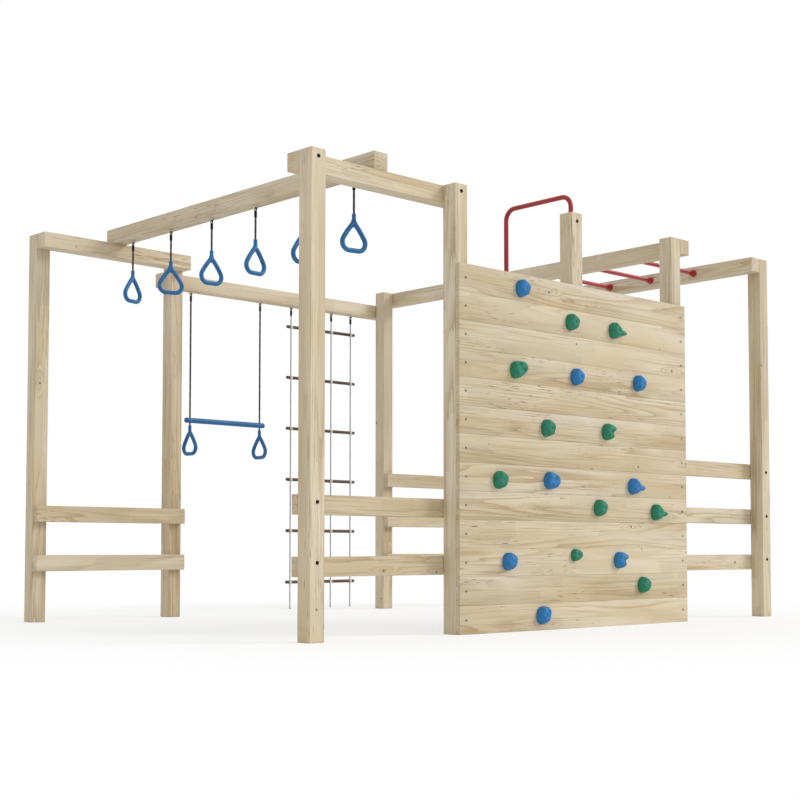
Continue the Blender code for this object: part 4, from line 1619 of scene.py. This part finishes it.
@dataclass
class MonkeyBars:
    """The steel bars overhead, with a flanged cup at each end; sizes in metres."""

    count: int = 6
    bar_diameter: float = 0.027
    socket_diameter: float = 0.036
    flange_diameter: float = 0.048
    flange_thickness: float = 0.006
    socket_length: float = 0.034

    def build(self) -> None:
        """Builds each bar in the place of its node."""
        for number in range(1, self.count + 1):
            node = f"monkey_bar_{number}"
            low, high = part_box(node)
            middle = (low + high) / 2
            half = (high.x - low.x) / 2
            form = Form()
            form.turned(self.profile(half), 40, lengthwise(*middle))
            add_piece(f"{node}_tube", form, RED_STEEL, "frame", (node,))

    def profile(self, half: float) -> list[Point]:
        """The turned outline of a bar with its cups.

        Args:
            half: Half its length.

        Returns:
            Radius and place along the bar.
        """
        flange, socket = self.flange_diameter / 2, self.socket_diameter / 2
        bar, thick, mouth = self.bar_diameter / 2, self.flange_thickness, self.socket_length
        end = [
            (0.0, half), (flange - 0.001, half), (flange, half - 0.001),
            (flange, half - thick * 0.7), (flange - 0.0012, half - thick),
            (socket + 0.0022, half - thick - 0.0015), (socket, half - thick - 0.0050),
            (socket, half - mouth + 0.0015), (socket - 0.0012, half - mouth),
            (bar, half - mouth), (bar, half - mouth - 0.002),
        ]
        return both_ends(end)


@dataclass
class ClimbingPole:
    """The bent steel pole from the middle post over to the ground behind; sizes in metres."""

    diameter: float = 0.027
    top: float = 2.406
    reach: float = 0.490
    bend: float = 0.065
    seat_bottom: float = 2.181
    foot_height: float = 0.030
    foot_wall: float = 0.002

    def build(self) -> None:
        """Builds the pole and the cap on its foot."""
        low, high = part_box("post_front_wall_middle")
        x, y = (low.x + high.x) / 2, (low.y + high.y) / 2
        straight, far = self.top - self.bend, self.reach - self.bend
        path = [(0.0, self.seat_bottom)]
        path += arc((self.bend, straight), self.bend, 180, 90, 16)
        path += arc((far, straight), self.bend, 90, 0, 16)
        path += [(self.reach, 0.002)]
        form = Form()
        form.sweep([Vector((x, y + u, v)) for u, v in path], self.diameter / 2, 36)
        pole = ("climbing_pole",)
        add_piece("pole_tube", form, RED_STEEL, "frame", pole)
        cap = Form()
        radius, height = self.diameter / 2 + self.foot_wall, self.foot_height
        cap.turned([(0.0, 0.0), (radius - 0.001, 0.0), (radius, 0.001), (radius, height - 0.001),
                    (radius - 0.001, height), (0.0, height)], 36, upright(x, y + self.reach, 0.0))
        add_piece("pole_foot_cap", cap, BLACK_PVC, "frame", pole)


@dataclass
class Studio:
    """The white floor, the soft light and the camera; metres, degrees and lens sizes."""

    floor_size: float = 60.0
    camera_place: tuple[float, float, float] = (-6.0718, -6.3877, 0.4314)
    camera_pitch: float = 93.015
    camera_yaw: float = -43.667
    lens_mm: float = 64.06
    shift: tuple[float, float] = (-0.0169, 0.0923)
    sky: float = 0.735
    key_strength: float = 1.40
    key_aim: tuple[float, float, float] = (-0.62, 0.58, -0.52)
    key_softness: float = 22.0

    def build(self) -> None:
        """Builds the floor, the world, the lamp and the camera."""
        self.build_floor()
        self.build_world()
        self.build_key()
        self.build_camera()
        view = bpy.context.scene.view_settings
        view.view_transform = "Standard"

    def build_floor(self) -> None:
        """Builds the paper floor as a grid."""
        work = bmesh.new()
        bmesh.ops.create_grid(work, x_segments=8, y_segments=8, size=self.floor_size / 2)
        mesh = bpy.data.meshes.new("studio_floor")
        work.to_mesh(mesh)
        work.free()
        mesh.materials.append(PAPER.build())
        floor = bpy.data.objects.new("studio_floor", mesh)
        bpy.context.scene.collection.objects.link(floor)

    def build_world(self) -> None:
        """Makes the surroundings: white to the eye, and an even, plain light on the object."""
        world = bpy.data.worlds.new("studio")
        world.use_nodes = True
        tree = world.node_tree
        light = tree.nodes["Background"]
        set_inputs(tree, light, {"Color": WHITE, "Strength": self.sky})
        plain = add_node(tree, "Background", {"Color": WHITE, "Strength": 1.0})
        mix = add_node(tree, "MixShader", {0: seen_directly(tree), 1: light, 2: plain})
        set_inputs(tree, tree.nodes["World Output"], {"Surface": mix})
        bpy.context.scene.world = world

    def build_key(self) -> None:
        """Adds the large soft lamp, from the front and the right."""
        lamp = bpy.data.lights.new("key", "SUN")
        lamp.energy = self.key_strength
        lamp.angle = math.radians(self.key_softness)
        key = bpy.data.objects.new("key", lamp)
        key.rotation_mode = "QUATERNION"
        key.rotation_quaternion = Vector(self.key_aim).to_track_quat("-Z", "Y")
        bpy.context.scene.collection.objects.link(key)

    def build_camera(self) -> None:
        """Adds the camera at the photograph's own place and angle."""
        lens = bpy.data.cameras.new("camera")
        lens.lens = self.lens_mm
        lens.sensor_width = 36.0
        lens.shift_x, lens.shift_y = self.shift
        lens.clip_end = 200.0
        camera = bpy.data.objects.new("camera", lens)
        camera.location = self.camera_place
        camera.rotation_euler = Euler(
            (math.radians(self.camera_pitch), 0.0, math.radians(self.camera_yaw))
        )
        bpy.context.scene.collection.objects.link(camera)
        bpy.context.scene.camera = camera


def main() -> None:
    """Builds the studio and every sub-assembly, in order."""
    logging.basicConfig(level=logging.INFO, format="%(name)s: %(message)s")
    parts = (Studio(), TimberFrame(), ClimbingWall(), HangingRings(), Trapeze(), RopeLadder(),
             MonkeyBars(), ClimbingPole())
    for part in parts:
        LOG.info("building %s", type(part).__name__)
        part.build()


if __name__ == "__main__":
    main()
